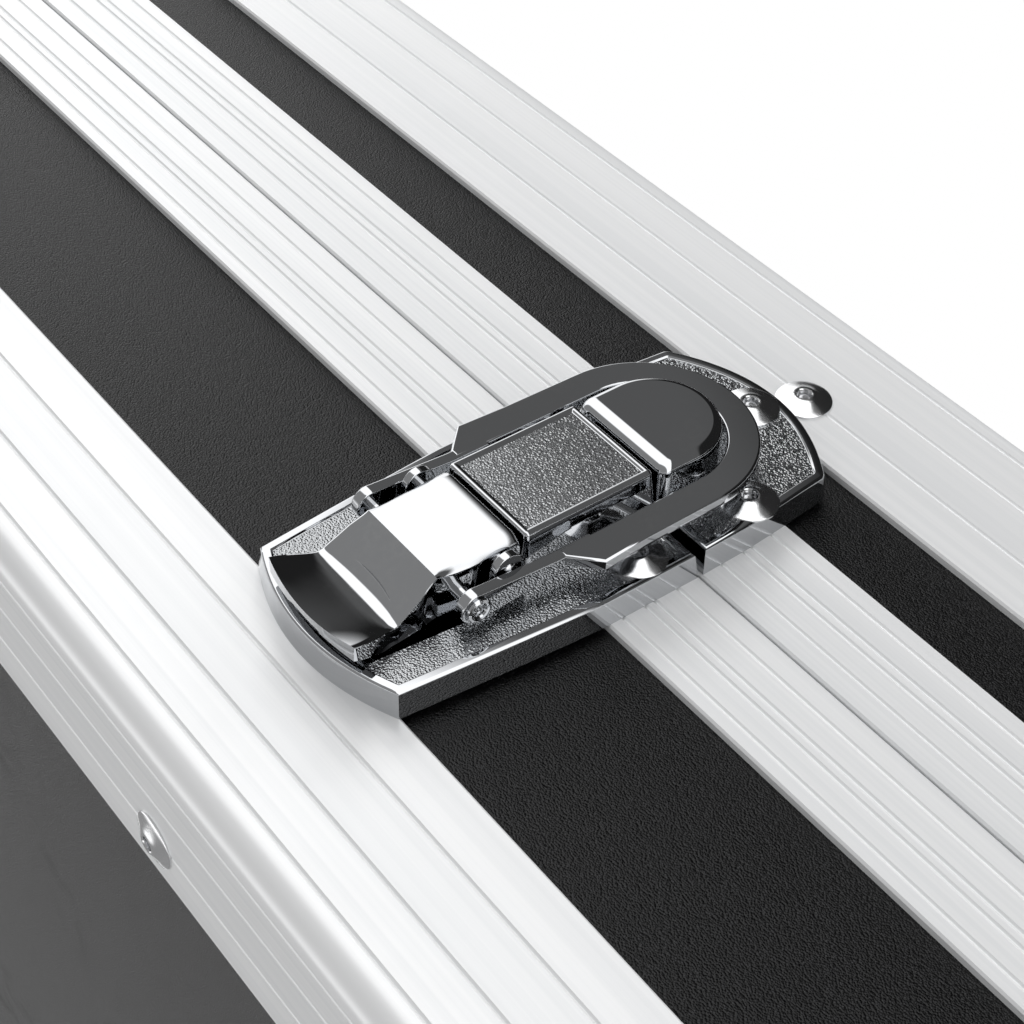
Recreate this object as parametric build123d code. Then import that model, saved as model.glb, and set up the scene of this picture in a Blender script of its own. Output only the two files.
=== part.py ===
from build123d import *
import os

# Flight case for a bass guitar, lying flat on its feet with the lid up.
# While it is modelled, X runs along the case, Y from the front wall to the back wall
# and Z up from the underside of the aluminium edging. export_node moves every piece
# to the part's own origin, on the floor under the middle of the whole object.

# Shell
case_length = 1240.0
case_depth = 430.0
base_height = 83.2
lid_height = 63.6
panel_thickness = 7.0

# Aluminium edging
sheet_thickness = 1.5
angle_leg = 31.0
edge_radius = 5.0
groove_width = 0.6
groove_depth = 0.3
angle_groove_places = (5.6, 13.4, 22.3)
seam_groove_places = (5.0, 9.5, 14.0)

# Closing profiles, which meet at the seam as tongue and groove
base_seam_flange = 17.5
lid_seam_flange = 18.1
seam_inner_leg = 12.0
seam_gap = 0.4
base_web = 4.5
lid_web = 1.8
tongue_width = 2.0
tongue_length = 2.4
tongue_clearance = 0.6

# Ball corners
corner_plate = 1.6
corner_reach = 42.0
ball_radius = 18.5
ball_inset = 10.0
corner_rivet_place = 28.0

# Rubber feet
foot_clearance = 12.0
foot_top_radius = 17.0
foot_bottom_radius = 15.0
foot_recess_radius = 6.0
foot_recess_depth = 5.0
foot_screw_radius = 2.2
foot_screw_head_radius = 4.6
foot_screw_head_height = 3.0
foot_from_end = 80.0
foot_from_wall = 65.0

# Blind rivets
rivet_head_radius = 4.75
rivet_head_height = 1.3
rivet_rim = 0.35
rivet_dome_radius = 3.0
rivet_dome_height = 1.05
rivet_facets = 12
rivet_shank_radius = 2.4
rivet_eye_radius = 1.2
rivet_eye_depth = 1.0
rivet_from_leg_edge = 8.0

# Draw latches
latch_from_end = 165.0
latch_from_middle = 165.0
latch_height = 4.6
latch_edge_round = 0.8
latch_tip_half = 18.5
latch_tip = 52.8
latch_apex = 57.5
latch_waist = 19.0
latch_waist_half = 21.4
latch_seam_half = 21.4
latch_floor = 2.2
latch_pocket_half = 14.6
latch_pocket_start = 54.0
latch_pocket_end = 13.5
bridge_top = 13.0
bridge_half = 9.6
bridge_foot_half = 10.9
bridge_plate = 1.8
bridge_wall = 1.5
bridge_start = 24.4
bridge_wall_start = 23.4
bridge_frame = 1.1
bridge_recess = 0.3
seam_margin = 0.5
base_rivet_x = 16.0
base_rivet_from_seam = 8.2

# Lever and its two pins
pin_radius = 1.2
pin_clearance = 0.05
fulcrum_from_seam = 28.6
fulcrum_height = 10.0
fulcrum_ear_radius = 2.8
fulcrum_ear_thickness = 1.3
link_from_seam = 36.0
link_height = 8.4
lever_half = 10.2
lever_side_gap = 0.3
lever_end_gap = 0.5
lever_corner_round = 1.7
lever_block_end = 38.0
lever_crest_from_seam = 45.5
lever_crest_height = 8.8
lever_dish_from_seam = 51.0
lever_dish_height = 6.6
lever_lip_from_seam = 56.8
lever_lip_height = 8.8
lever_lip_thickness = 1.6
lever_tip_half = 12.4
lever_tip_corner = 54.6
lever_underside = 3.0

# Hoop
hoop_thickness = 2.0
hoop_underside = 8.0
hoop_outer_half = 17.8
hoop_inner_half = 12.5
hoop_round_centre = 6.2
hoop_start = 20.5
hoop_ear_thickness = 2.0
hoop_ear_gap = 0.4
hoop_ear_radius = 2.6
pin_head_radius = 2.0
pin_head_thickness = 0.5

# Keeper
keeper_corner_half = 19.6
keeper_corner = 27.5
keeper_apex = 34.3
keeper_side_rivet_x = 16.5
keeper_side_rivet = 13.4
keeper_end_rivet = 28.4
nose_half = 10.2
nose_start = 0.9
nose_round_centre = 8.2
nose_clearance = 0.3

# Carrying handle
handle_span = 124.0
handle_drop = 42.0
handle_rod_radius = 4.0
handle_bend_radius = 8.0
handle_stand_off = 12.0
handle_from_seam = 27.0
grip_radius = 10.5
grip_end_round = 3.0
handle_plate_width = 34.0
handle_plate_height = 30.0
handle_plate_thickness = 2.0
handle_lug_length = 14.0
handle_lug_radius = 8.5
handle_socket_depth = 10.0
handle_rivet_from_edge = 6.0

# Stop hinges
hinge_from_end = 170.0
hinge_width = 60.0
hinge_leaf_height = 36.0
hinge_leaf_thickness = 2.0
knuckle_radius = 4.5
knuckle_wall_gap = 0.5
knuckle_middle = 24.0
knuckle_gap = 0.3
hinge_pin_radius = 2.0
hinge_notch_gap = 0.7
stop_finger_reach = 9.0
stop_finger_thickness = 2.0
hinge_rivet_x = 21.0
hinge_rivet_from_edge = 9.0

# Padding, soft and clear of its neighbours
soft_clearance = 0.3
wall_pad = 10.0
floor_pad = 10.0
lid_pad = 14.0
pad_below_seam = 6.0
neck_channel = 92.0
body_room = 680.0
neck_block_height = 50.0
horn_radius = 150.0
horn_ahead = 105.0
horn_off_side = 30.0
cradle_length = 90.0
cradle_from_end = 150.0
cradle_height = 30.0
cradle_notch_radius = 34.0
cradle_notch_height = 46.0
tray_length = 260.0
horn_block_length = 109.7
tray_wall = 5.0
bout_radius = 170.0
bout_pad_length = 120.0
holddown_length = 120.0
holddown_height = 20.0

# Sizes that follow
case_height = base_height + lid_height
half_length = case_length / 2
latch_outer = half_length - latch_from_end
latch_positions = (-latch_outer, -latch_from_middle, latch_from_middle, latch_outer)
rivet_between = (latch_outer + latch_from_middle) / 2
hinge_positions = (hinge_from_end - half_length, 0, half_length - hinge_from_end)
foot_x = half_length - foot_from_end
foot_y = case_depth / 2 - foot_from_wall
neck_end = body_room - half_length
cradle_x = cradle_from_end - half_length
tray_x = -neck_end - horn_block_length - soft_clearance - tray_length / 2
front_wall = -case_depth / 2
back_wall = case_depth / 2
seam_base = base_height - seam_gap / 2
seam_lid = base_height + seam_gap / 2
inner_face = sheet_thickness + panel_thickness
profile_depth = inner_face + sheet_thickness
grip_length = handle_span - 4 * handle_bend_radius
grip_reach = handle_stand_off + grip_radius
hinge_axis_y = back_wall + knuckle_wall_gap + knuckle_radius
hinge_reach = knuckle_wall_gap + knuckle_radius + stop_finger_reach
centre_shift = (grip_reach - hinge_reach) / 2
hoop_ear_inner = lever_half + lever_side_gap + fulcrum_ear_thickness + hoop_ear_gap
hoop_ear_outer = hoop_ear_inner + hoop_ear_thickness
pin_bore = pin_radius + pin_clearance
nose_top = hoop_underside - nose_clearance


def export_node(name, shapes):
    """Write one node, a single solid or a group of separate solids, at its place."""
    place = Pos(0, centre_shift, foot_clearance)
    solids = [place * solid for shape in shapes for solid in shape.solids()]
    export_step(Compound(solids) if len(solids) > 1 else solids[0], f"parts/{name}.step")


def box_between(low, high):
    """A box from its lowest to its highest corner."""
    size = [high[i] - low[i] for i in range(3)]
    middle = [(high[i] + low[i]) / 2 for i in range(3)]
    return Pos(*middle) * Box(*size)


def strip(x_low, x_high, y_low, y_high):
    """A rectangle between two corners of a sketch."""
    middle = Pos((x_low + x_high) / 2, (y_low + y_high) / 2)
    return middle * Rectangle(x_high - x_low, y_high - y_low)


def frame_runs(section):
    """Run a section round the case outline as four mitred lengths.

    The section is drawn with X as the depth behind the outer face and Y as the height.
    """
    depth = section.bounding_box().max.X
    low = section.bounding_box().min.Y
    high = section.bounding_box().max.Y
    runs = []
    sides = (case_length / 2, case_depth / 2, 0), (case_depth / 2, case_length / 2, 90)
    for half_run, half_span, turn in sides:
        start = Plane(origin=(-half_run, -half_span, 0), x_dir=(0, 1, 0), z_dir=(1, 0, 0))
        run = extrude(start * section, 2 * half_run)
        plan = Polyline(
            (-half_run, -half_span),
            (half_run, -half_span),
            (half_run - depth, -half_span + depth),
            (-half_run + depth, -half_span + depth),
            close=True,
        )
        mitre = Pos(0, 0, low) * extrude(make_face(plan), high - low)
        run = run & mitre
        runs += [Rot(0, 0, turn) * run, Rot(0, 0, turn + 180) * run]
    return runs


def at_corners(shape):
    """Set a shape drawn for the front left corner at all four corners."""
    half_x = case_length / 2
    half_y = case_depth / 2
    corners = ((-half_x, -half_y), (half_x, -half_y), (half_x, half_y), (-half_x, half_y))
    return [Pos(x, y) * Rot(0, 0, 90 * i) * shape for i, (x, y) in enumerate(corners)]


def lid_side_up(section):
    """Turn a section drawn from the underside over, so that it ends at the lid's top."""
    return Pos(0, case_height) * mirror(section, Plane.XZ)


def angle_section():
    """Equal-leg angle with a rounded corner and fine grooves along both legs."""
    outer = strip(0, angle_leg, 0, angle_leg)
    inner = strip(sheet_thickness, 2 * angle_leg, sheet_thickness, 2 * angle_leg)
    outer_corner = min(outer.vertices(), key=lambda v: v.X + v.Y)
    inner_corner = min(inner.vertices(), key=lambda v: v.X + v.Y)
    outer = fillet(outer_corner, edge_radius)
    inner = fillet(inner_corner, edge_radius - sheet_thickness)
    section = outer - inner
    for place in angle_groove_places:
        section -= Pos(0, place) * Rectangle(2 * groove_depth, groove_width)
        section -= Pos(place, 0) * Rectangle(groove_width, 2 * groove_depth)
    return section


def closing_section(flange, web, with_groove):
    """Channel that grips a wall's edge, drawn with its meeting face at height zero."""
    section = strip(0, profile_depth, -web, 0)
    section += strip(0, sheet_thickness, -flange, 0)
    section += strip(inner_face, profile_depth, -seam_inner_leg, 0)
    middle = profile_depth / 2
    for place in seam_groove_places:
        section -= Pos(0, -place) * Rectangle(2 * groove_depth, groove_width)
    if with_groove:
        half = tongue_width / 2 + tongue_clearance
        depth = tongue_length + tongue_clearance - seam_gap
        section -= strip(middle - half, middle + half, -depth, depth)
    else:
        half = tongue_width / 2
        section += strip(middle - half, middle + half, -web, tongue_length)
    return section


def base_closing_profiles():
    """Lower half of the seam, with the groove."""
    section = closing_section(base_seam_flange - seam_gap / 2, base_web, True)
    return frame_runs(Pos(0, seam_base) * section)


def lid_closing_profiles():
    """Upper half of the seam, with the tongue."""
    section = closing_section(lid_seam_flange - seam_gap / 2, lid_web, False)
    return frame_runs(Pos(0, seam_lid) * mirror(section, Plane.XZ))


def corner_posts(low, high):
    """Upright angles between the edge angles and the seam at the four corners."""
    outer = strip(0, angle_leg, 0, angle_leg)
    inner = strip(sheet_thickness, 2 * angle_leg, sheet_thickness, 2 * angle_leg)
    outer = fillet(min(outer.vertices(), key=lambda v: v.X + v.Y), edge_radius)
    inner_corner = min(inner.vertices(), key=lambda v: v.X + v.Y)
    inner = fillet(inner_corner, edge_radius - sheet_thickness)
    post = Pos(0, 0, low) * extrude(outer - inner, high - low)
    return at_corners(post)


def floor_panel():
    """Bottom board, its lower edges eased to sit inside the rounded edging."""
    x = case_length / 2 - sheet_thickness
    y = case_depth / 2 - sheet_thickness
    top = sheet_thickness + panel_thickness
    board = box_between((-x, -y, sheet_thickness), (x, y, top))
    lower = board.faces().sort_by(Axis.Z)[0]
    return chamfer(lower.edges(), edge_radius - sheet_thickness)


def wall_panels(low, high):
    """Front, back, left and right boards between two heights."""
    x = case_length / 2 - sheet_thickness
    y = case_depth / 2 - sheet_thickness
    ease = edge_radius - sheet_thickness
    front = box_between((-x, -y, low), (x, -y + panel_thickness, high))
    outer_ends = front.edges().filter_by(Axis.Z).group_by(Axis.Y)[0]
    front = chamfer(outer_ends, ease)
    left = box_between((-x, -y + panel_thickness, low), (-x + panel_thickness, y - panel_thickness, high))
    return front, Rot(0, 0, 180) * front, left, Rot(0, 0, 180) * left


def ball_corners():
    """Pressed steel corners: three rounded flanges and a ball over the point."""
    flanges = box_between((-corner_plate,) * 3, (2 * corner_reach,) * 3)
    flanges &= Pos(ball_inset, ball_inset, ball_inset) * Sphere(corner_reach)
    ball = Pos(ball_inset, ball_inset, ball_inset) * Sphere(ball_radius)
    corner = (flanges + ball) - box_between((0, 0, 0), (3 * corner_reach,) * 3)
    return corner


def rivet(shank=0.0):
    """Blind rivet seen from outside: a low dome with the mandrel's eye, head on Z = 0."""
    outline = Polyline((0, 0), (rivet_head_radius, 0), (rivet_head_radius, rivet_rim))
    dome = ThreePointArc(
        (rivet_head_radius, rivet_rim),
        (rivet_dome_radius, rivet_dome_height),
        (rivet_eye_radius, rivet_head_height),
    )
    eye = Polyline(
        (rivet_eye_radius, rivet_head_height),
        (rivet_eye_radius, rivet_head_height - rivet_eye_depth),
        (0, rivet_head_height - rivet_eye_depth),
        (0, 0),
    )
    half = make_face([*outline.edges(), dome, *eye.edges()])
    body = revolve(Plane.XZ * half, Axis.Z)
    if shank:
        body += Pos(0, 0, -shank / 2) * Cylinder(rivet_shank_radius, shank)
    return body


def plain_rivet():
    """The same rivet on the edging, its dome as one cone for a light model."""
    rim = extrude(RegularPolygon(rivet_head_radius, rivet_facets), rivet_rim)
    dome = loft([
        Pos(0, 0, rivet_rim) * RegularPolygon(rivet_head_radius, rivet_facets),
        Pos(0, 0, rivet_head_height) * RegularPolygon(rivet_head_radius / 2, rivet_facets),
    ])
    return rim + dome


def front_place(x, z):
    """Place on the front wall's aluminium, looking out of the wall."""
    return Plane(origin=(x, front_wall, z), x_dir=(1, 0, 0), z_dir=(0, -1, 0)).location


def back_place(x, z):
    """Place on the back wall's aluminium, looking out of the wall."""
    return Plane(origin=(x, back_wall, z), x_dir=(-1, 0, 0), z_dir=(0, 1, 0)).location


def latch_base():
    """Die-cast lower half: skirted dish, lever ears and the raised bridge at the seam."""
    side = (
        (latch_seam_half, -seam_margin),
        (latch_waist_half, -latch_waist),
        (latch_tip_half, -latch_tip),
    )
    right = Polyline(*side)
    left = Polyline(*[(-u, v) for u, v in side])
    tip = ThreePointArc(side[-1], (0, -latch_apex), (-side[-1][0], side[-1][1]))
    top = Line(side[0], (-side[0][0], side[0][1]))
    outline = make_face([*right.edges(), tip, *left.edges(), top])
    body = extrude(outline, latch_height)
    rim = body.faces().sort_by(Axis.Z)[-1].outer_wire().edges()
    body = fillet(rim, latch_edge_round)
    pocket = strip(-latch_pocket_half, latch_pocket_half, -latch_pocket_start, -latch_pocket_end)
    body -= Pos(0, 0, latch_floor) * extrude(pocket, bridge_top)

    bridge_length = bridge_start - seam_margin
    middle = -(bridge_start + seam_margin) / 2
    foot = Pos(0, middle, latch_floor) * Rectangle(2 * bridge_foot_half, bridge_length)
    crown = Pos(0, middle, bridge_top) * Rectangle(2 * bridge_half, bridge_length)
    bridge = loft([foot, crown])
    long_edges = bridge.edges().filter_by(Axis.Y).group_by(Axis.Z)[-1]
    bridge = fillet(long_edges, latch_edge_round)
    hollow_half = bridge_half - bridge_wall
    hollow_top = bridge_top - bridge_plate
    hollow_end = -seam_margin - bridge_wall
    bridge -= box_between(
        (-hollow_half, -2 * bridge_start, latch_floor), (hollow_half, hollow_end, hollow_top)
    )
    bridge -= box_between(
        (-latch_waist_half, -2 * bridge_start, latch_floor),
        (latch_waist_half, -bridge_wall_start, hollow_top),
    )
    inset = strip(
        -bridge_half + latch_edge_round + bridge_frame,
        bridge_half - latch_edge_round - bridge_frame,
        -bridge_start + bridge_frame,
        -seam_margin - bridge_frame,
    )
    bridge -= Pos(0, 0, bridge_top - bridge_recess) * extrude(inset, bridge_recess)
    body += bridge

    ear_inner = lever_half + lever_side_gap
    ear_outer = ear_inner + fulcrum_ear_thickness
    for side_sign in (-1, 1):
        low_u, high_u = sorted((side_sign * ear_inner, side_sign * ear_outer))
        upright = box_between(
            (low_u, -fulcrum_from_seam - fulcrum_ear_radius, latch_floor),
            (high_u, -fulcrum_from_seam + fulcrum_ear_radius, fulcrum_height),
        )
        knob = Pos((low_u + high_u) / 2, -fulcrum_from_seam, fulcrum_height)
        upright += knob * Rot(0, 90, 0) * Cylinder(fulcrum_ear_radius, high_u - low_u)
        body += upright
    bore = Cylinder(pin_bore, 3 * ear_outer)
    body -= Pos(0, -fulcrum_from_seam, fulcrum_height) * Rot(0, 90, 0) * bore
    for u in (-base_rivet_x, base_rivet_x):
        hole = Cylinder(rivet_shank_radius + pin_clearance, 4 * latch_height)
        body -= Pos(u, -base_rivet_from_seam) * hole
    return body


def latch_lever():
    """Lever: a block over its two pins, sloping down to a dished thumb lip."""
    back = -(bridge_start + lever_end_gap)
    lip_under = lever_lip_height - lever_lip_thickness
    rise = -(lever_crest_from_seam + lever_lip_from_seam) / 2
    upper = Polyline(
        (back, lever_underside + lever_lip_thickness),
        (back, bridge_top),
        (-lever_block_end, bridge_top),
        (-lever_crest_from_seam, lever_crest_height),
    )
    dish = ThreePointArc(
        (-lever_crest_from_seam, lever_crest_height),
        (-lever_dish_from_seam, lever_dish_height),
        (-lever_lip_from_seam, lever_lip_height),
    )
    lower = Polyline(
        (-lever_lip_from_seam, lever_lip_height),
        (-lever_lip_from_seam, lip_under),
        (rise, lever_underside),
        (-fulcrum_from_seam, lever_underside),
        (back, lever_underside + lever_lip_thickness),
    )
    profile = make_face([*upper.edges(), dish, *lower.edges()])
    heel = max(profile.vertices(), key=lambda v: v.X + v.Y)
    profile = fillet(heel, lever_corner_round)
    side = Plane(origin=(-2 * lever_tip_half, 0, 0), x_dir=(0, 1, 0), z_dir=(1, 0, 0))
    body = extrude(side * profile, 4 * lever_tip_half)

    edge = (
        (lever_half, back),
        (lever_half, -lever_block_end),
        (lever_tip_half, -lever_tip_corner),
    )
    right = Polyline(*edge)
    left = Polyline(*[(-u, v) for u, v in edge])
    tip = ThreePointArc(edge[-1], (0, -lever_lip_from_seam), (-edge[-1][0], edge[-1][1]))
    end = Line(edge[0], (-edge[0][0], edge[0][1]))
    plan = make_face([*right.edges(), tip, *left.edges(), end])
    body &= extrude(plan, 2 * bridge_top)
    for from_seam, height in (
        (fulcrum_from_seam, fulcrum_height),
        (link_from_seam, link_height),
    ):
        bore = Cylinder(pin_bore, 4 * lever_half)
        body -= Pos(0, -from_seam, height) * Rot(0, 90, 0) * bore
    return body


def fulcrum_pin():
    """Pin that the lever turns on, held in the base's two ears."""
    length = 2 * (lever_half + lever_side_gap + fulcrum_ear_thickness)
    pin = Cylinder(pin_radius, length)
    return Pos(0, -fulcrum_from_seam, fulcrum_height) * Rot(0, 90, 0) * pin


def link_pin():
    """Pin through the lever and the hoop's ears, with a rolled head at each end."""
    pin = Cylinder(pin_radius, 2 * (hoop_ear_outer + pin_clearance))
    for end in (-1, 1):
        place = end * (hoop_ear_outer + pin_clearance + pin_head_thickness / 2)
        pin += Pos(0, 0, place) * Cylinder(pin_head_radius, pin_head_thickness)
    return Pos(0, -link_from_seam, link_height) * Rot(0, 90, 0) * pin


def latch_hoop():
    """Stamped hoop: flat ring round the keeper's nose, ears bent down to the link pin."""
    def loop(half):
        return (
            strip(-half, half, -hoop_start, hoop_round_centre)
            + Pos(0, hoop_round_centre) * Circle(half)
        )

    ring = loop(hoop_outer_half) - loop(hoop_inner_half)
    ring -= strip(-hoop_inner_half, hoop_inner_half, -2 * hoop_start, hoop_round_centre)
    shoulder = hoop_outer_half - hoop_ear_outer
    for side_sign in (-1, 1):
        corner = Polyline(
            (side_sign * hoop_ear_outer, -hoop_start - 1),
            (side_sign * (hoop_outer_half + 1), -hoop_start - 1),
            (side_sign * (hoop_outer_half + 1), -hoop_start + shoulder),
            close=True,
        )
        ring -= make_face(corner)
    top = hoop_underside + hoop_thickness
    body = Pos(0, 0, hoop_underside) * extrude(ring, hoop_thickness)

    bend = -hoop_start + shoulder + hoop_ear_thickness
    ear = make_face(Polyline(
        (-link_from_seam, link_height + hoop_ear_radius),
        (-hoop_start, top),
        (bend, top),
        (bend, hoop_underside),
        (-hoop_start, hoop_underside - hoop_thickness / 2),
        (-link_from_seam, link_height - hoop_ear_radius),
        close=True,
    ))
    ear += Pos(-link_from_seam, link_height) * Circle(hoop_ear_radius)
    for low_u in (-hoop_ear_outer, hoop_ear_inner):
        side = Plane(origin=(low_u, 0, 0), x_dir=(0, 1, 0), z_dir=(1, 0, 0))
        body += extrude(side * ear, hoop_ear_thickness)
    bore = Cylinder(pin_bore, 4 * hoop_ear_outer)
    body -= Pos(0, -link_from_seam, link_height) * Rot(0, 90, 0) * bore
    return body


def latch_keeper():
    """Die-cast upper half: skirted plate with the nose that the hoop draws on.

    The nose stays below the hoop, because here the linkage is open.
    """
    side = (
        (latch_seam_half, seam_margin),
        (keeper_corner_half, keeper_corner),
    )
    right = Polyline(*side)
    left = Polyline(*[(-u, v) for u, v in side])
    tip = ThreePointArc(side[-1], (0, keeper_apex), (-side[-1][0], side[-1][1]))
    end = Line(side[0], (-side[0][0], side[0][1]))
    outline = make_face([*right.edges(), tip, *left.edges(), end])
    body = extrude(outline, latch_height)
    rim = body.faces().sort_by(Axis.Z)[-1].outer_wire().edges()
    body = fillet(rim, latch_edge_round)
    nose = strip(-nose_half, nose_half, nose_start, nose_round_centre)
    nose += Pos(0, nose_round_centre) * Circle(nose_half)
    nose -= strip(-nose_half, nose_half, -2 * nose_half, nose_start)
    crown = extrude(nose, nose_top)
    crown = fillet(crown.faces().sort_by(Axis.Z)[-1].edges(), latch_edge_round)
    body += crown
    for u, v in keeper_rivet_places():
        hole = Cylinder(rivet_shank_radius + pin_clearance, 4 * latch_height)
        body -= Pos(u, v) * hole
    return body


def keeper_rivet_places():
    """Where the keeper is riveted: two at the sides and one near its end."""
    return (
        (-keeper_side_rivet_x, keeper_side_rivet),
        (keeper_side_rivet_x, keeper_side_rivet),
        (0, keeper_end_rivet),
    )


def handle_bracket():
    """Riveted plate with a round lug that holds one end of the handle's rod."""
    plate = box_between(
        (0, -handle_plate_height / 2, 0),
        (handle_plate_width, handle_plate_height / 2, handle_plate_thickness),
    )
    plate = fillet(plate.edges().filter_by(Axis.Z), handle_rivet_from_edge / 2)
    upright = box_between(
        (0, -handle_lug_radius, 0), (handle_lug_length, handle_lug_radius, handle_stand_off)
    )
    barrel = Pos(handle_lug_length / 2, 0, handle_stand_off)
    upright += barrel * Rot(0, 90, 0) * Cylinder(handle_lug_radius, handle_lug_length)
    socket = Pos(handle_socket_depth / 2, 0, handle_stand_off)
    bore = Cylinder(handle_rod_radius + pin_clearance, handle_socket_depth)
    return plate + upright - socket * Rot(0, 90, 0) * bore


def handle_brackets():
    """Both brackets, the second turned to face the first."""
    centre = base_height - handle_from_seam
    right = front_place(handle_span / 2, centre) * handle_bracket()
    left = mirror(right, Plane.YZ)
    return [left, right]


def handle_rivet_places():
    """Rivets above and below each lug's end, on the plates."""
    x = handle_span / 2 + handle_plate_width - handle_rivet_from_edge
    rise = handle_plate_height / 2 - handle_rivet_from_edge
    centre = base_height - handle_from_seam
    return [(side * x, centre + up) for side in (-1, 1) for up in (-rise, rise)]


def handle_bail():
    """Bent rod that hangs from its two turned-out ends."""
    end = handle_span / 2 + handle_socket_depth - 1
    arm = handle_span / 2 - handle_bend_radius
    path = FilletPolyline(
        (-end, 0, 0),
        (-arm, 0, 0),
        (-arm, 0, -handle_drop),
        (arm, 0, -handle_drop),
        (arm, 0, 0),
        (end, 0, 0),
        radius=handle_bend_radius,
    )
    start = Plane(origin=path @ 0, z_dir=path % 0)
    rod = sweep(start * Circle(handle_rod_radius), path=path)
    return handle_place() * rod


def handle_grip():
    """Moulded sleeve round the rod's cross bar."""
    sleeve = Cylinder(grip_radius, grip_length)
    sleeve = fillet(sleeve.edges(), grip_end_round)
    sleeve -= Cylinder(handle_rod_radius, grip_length)
    return handle_place() * Pos(0, 0, -handle_drop) * Rot(0, 90, 0) * sleeve


def handle_place():
    """The handle's turning axis, in front of the wall."""
    return Pos(0, front_wall - handle_stand_off, base_height - handle_from_seam)


def hinge_leaf(is_lid):
    """One leaf with its knuckles, drawn for the base or turned over for the lid."""
    reach = knuckle_radius + hinge_notch_gap
    half = hinge_width / 2
    middle = knuckle_middle / 2
    wall_side = -knuckle_wall_gap - knuckle_radius
    outer_side = wall_side + hinge_leaf_thickness
    leaf = box_between((-half, wall_side, -hinge_leaf_height), (half, outer_side, -reach))
    if is_lid:
        spans = [(-middle + knuckle_gap, middle - knuckle_gap)]
    else:
        spans = [(-half, -middle), (middle, half)]
    for low, high in spans:
        leaf += box_between((low, wall_side, -reach), (high, outer_side, -hinge_notch_gap))
        barrel = Pos((low + high) / 2, 0, 0) * Rot(0, 90, 0) * Cylinder(knuckle_radius, high - low)
        leaf += barrel
    leaf -= Rot(0, 90, 0) * Cylinder(hinge_pin_radius + pin_clearance, 2 * hinge_width)
    if is_lid:
        leaf = mirror(leaf, Plane.XY)
        low, high = spans[0]
        leaf += box_between(
            (low, hinge_pin_radius + 1, -stop_finger_thickness / 2),
            (high, stop_finger_reach, stop_finger_thickness / 2),
        )
    return leaf


def at_hinges(shape):
    """Set a shape drawn round the hinge axis at each hinge."""
    return [Pos(x, hinge_axis_y, base_height) * shape for x in hinge_positions]


def hinge_rivet_places(side):
    """Two rivets a leaf, above the seam for side 1 and below it for side -1."""
    z = base_height + side * (hinge_leaf_height - hinge_rivet_from_edge)
    return [(x + u, z) for x in hinge_positions for u in (-hinge_rivet_x, hinge_rivet_x)]


def rubber_feet():
    """Round feet on the bottom board, each with a sunk screw."""
    top = sheet_thickness
    height = foot_clearance + top
    foot = Pos(0, 0, top - height / 2) * Rot(180, 0, 0) * Cone(
        foot_top_radius, foot_bottom_radius, height
    )
    recess = Pos(0, 0, -foot_clearance + foot_recess_depth / 2)
    foot -= recess * Cylinder(foot_recess_radius, foot_recess_depth)
    foot -= Cylinder(foot_screw_radius + pin_clearance, 4 * foot_clearance)
    return at_feet(foot)


def foot_screws():
    """Pan-head screws in the feet's recesses, up to the bottom board."""
    seat = -foot_clearance + foot_recess_depth
    head = Pos(0, 0, seat - foot_screw_head_height / 2)
    screw = head * Cylinder(foot_screw_head_radius, foot_screw_head_height)
    length = sheet_thickness - seat
    screw += Pos(0, 0, seat + length / 2) * Cylinder(foot_screw_radius, length)
    return at_feet(screw)


def at_feet(shape):
    """Set a shape at the four feet."""
    places = [(x, y) for x in (-foot_x, foot_x) for y in (-foot_y, foot_y)]
    return [Pos(x, y) * shape for x, y in places]


def edge_rivets(for_lid):
    """Rivets through the edge angles and the ball corners of one half."""
    place = angle_leg - rivet_from_leg_edge
    between = [-rivet_between, 0, rivet_between]
    head = plain_rivet()
    upright_z = case_height - place if for_lid else place
    upright_x = latch_positions if for_lid else between
    flat_x = between if for_lid else latch_positions
    rivets = [front_place(x, upright_z) * head for x in upright_x]
    rivets += [back_place(x, upright_z) * head for x in between if x]
    flat = Pos(0, 0, case_height) if for_lid else Rot(180, 0, 0)
    for x in flat_x:
        for side in (-1, 1):
            rivets.append(Pos(x, side * (case_depth / 2 - place)) * flat * head)
    point = corner_rivet_place
    bare = Pos(point, point, -corner_plate) * Rot(180, 0, 0) * head
    wall = Pos(point, -corner_plate, point) * Rot(90, 0, 0) * head
    end = Pos(-corner_plate, point, point) * Rot(0, -90, 0) * head
    for shape in (bare, wall, end):
        if for_lid:
            shape = Pos(0, 0, case_height) * mirror(shape, Plane.XY)
        rivets += at_corners(shape)
    return rivets


def pad_ring(low, high):
    """Wall padding as four mitred strips between two heights."""
    start = inner_face + soft_clearance
    lowest_profile = base_height - seam_inner_leg
    highest_profile = base_height + seam_inner_leg
    if low < highest_profile and high > lowest_profile:
        start = profile_depth + soft_clearance
    return frame_runs(strip(start, start + wall_pad, low, high))


def inside_half(axis_size):
    """Half of the room inside the wall padding along one direction."""
    return axis_size / 2 - profile_depth - wall_pad - 3 * soft_clearance


def base_floor_pad():
    """Padding over the whole bottom board."""
    x = case_length / 2 - inner_face - soft_clearance
    y = case_depth / 2 - inner_face - soft_clearance
    low = inner_face + soft_clearance
    return box_between((-x, -y, low), (x, y, low + floor_pad))


def base_inside_floor():
    """Height where the blocks on the floor pad start."""
    return inner_face + floor_pad + 2 * soft_clearance


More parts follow.
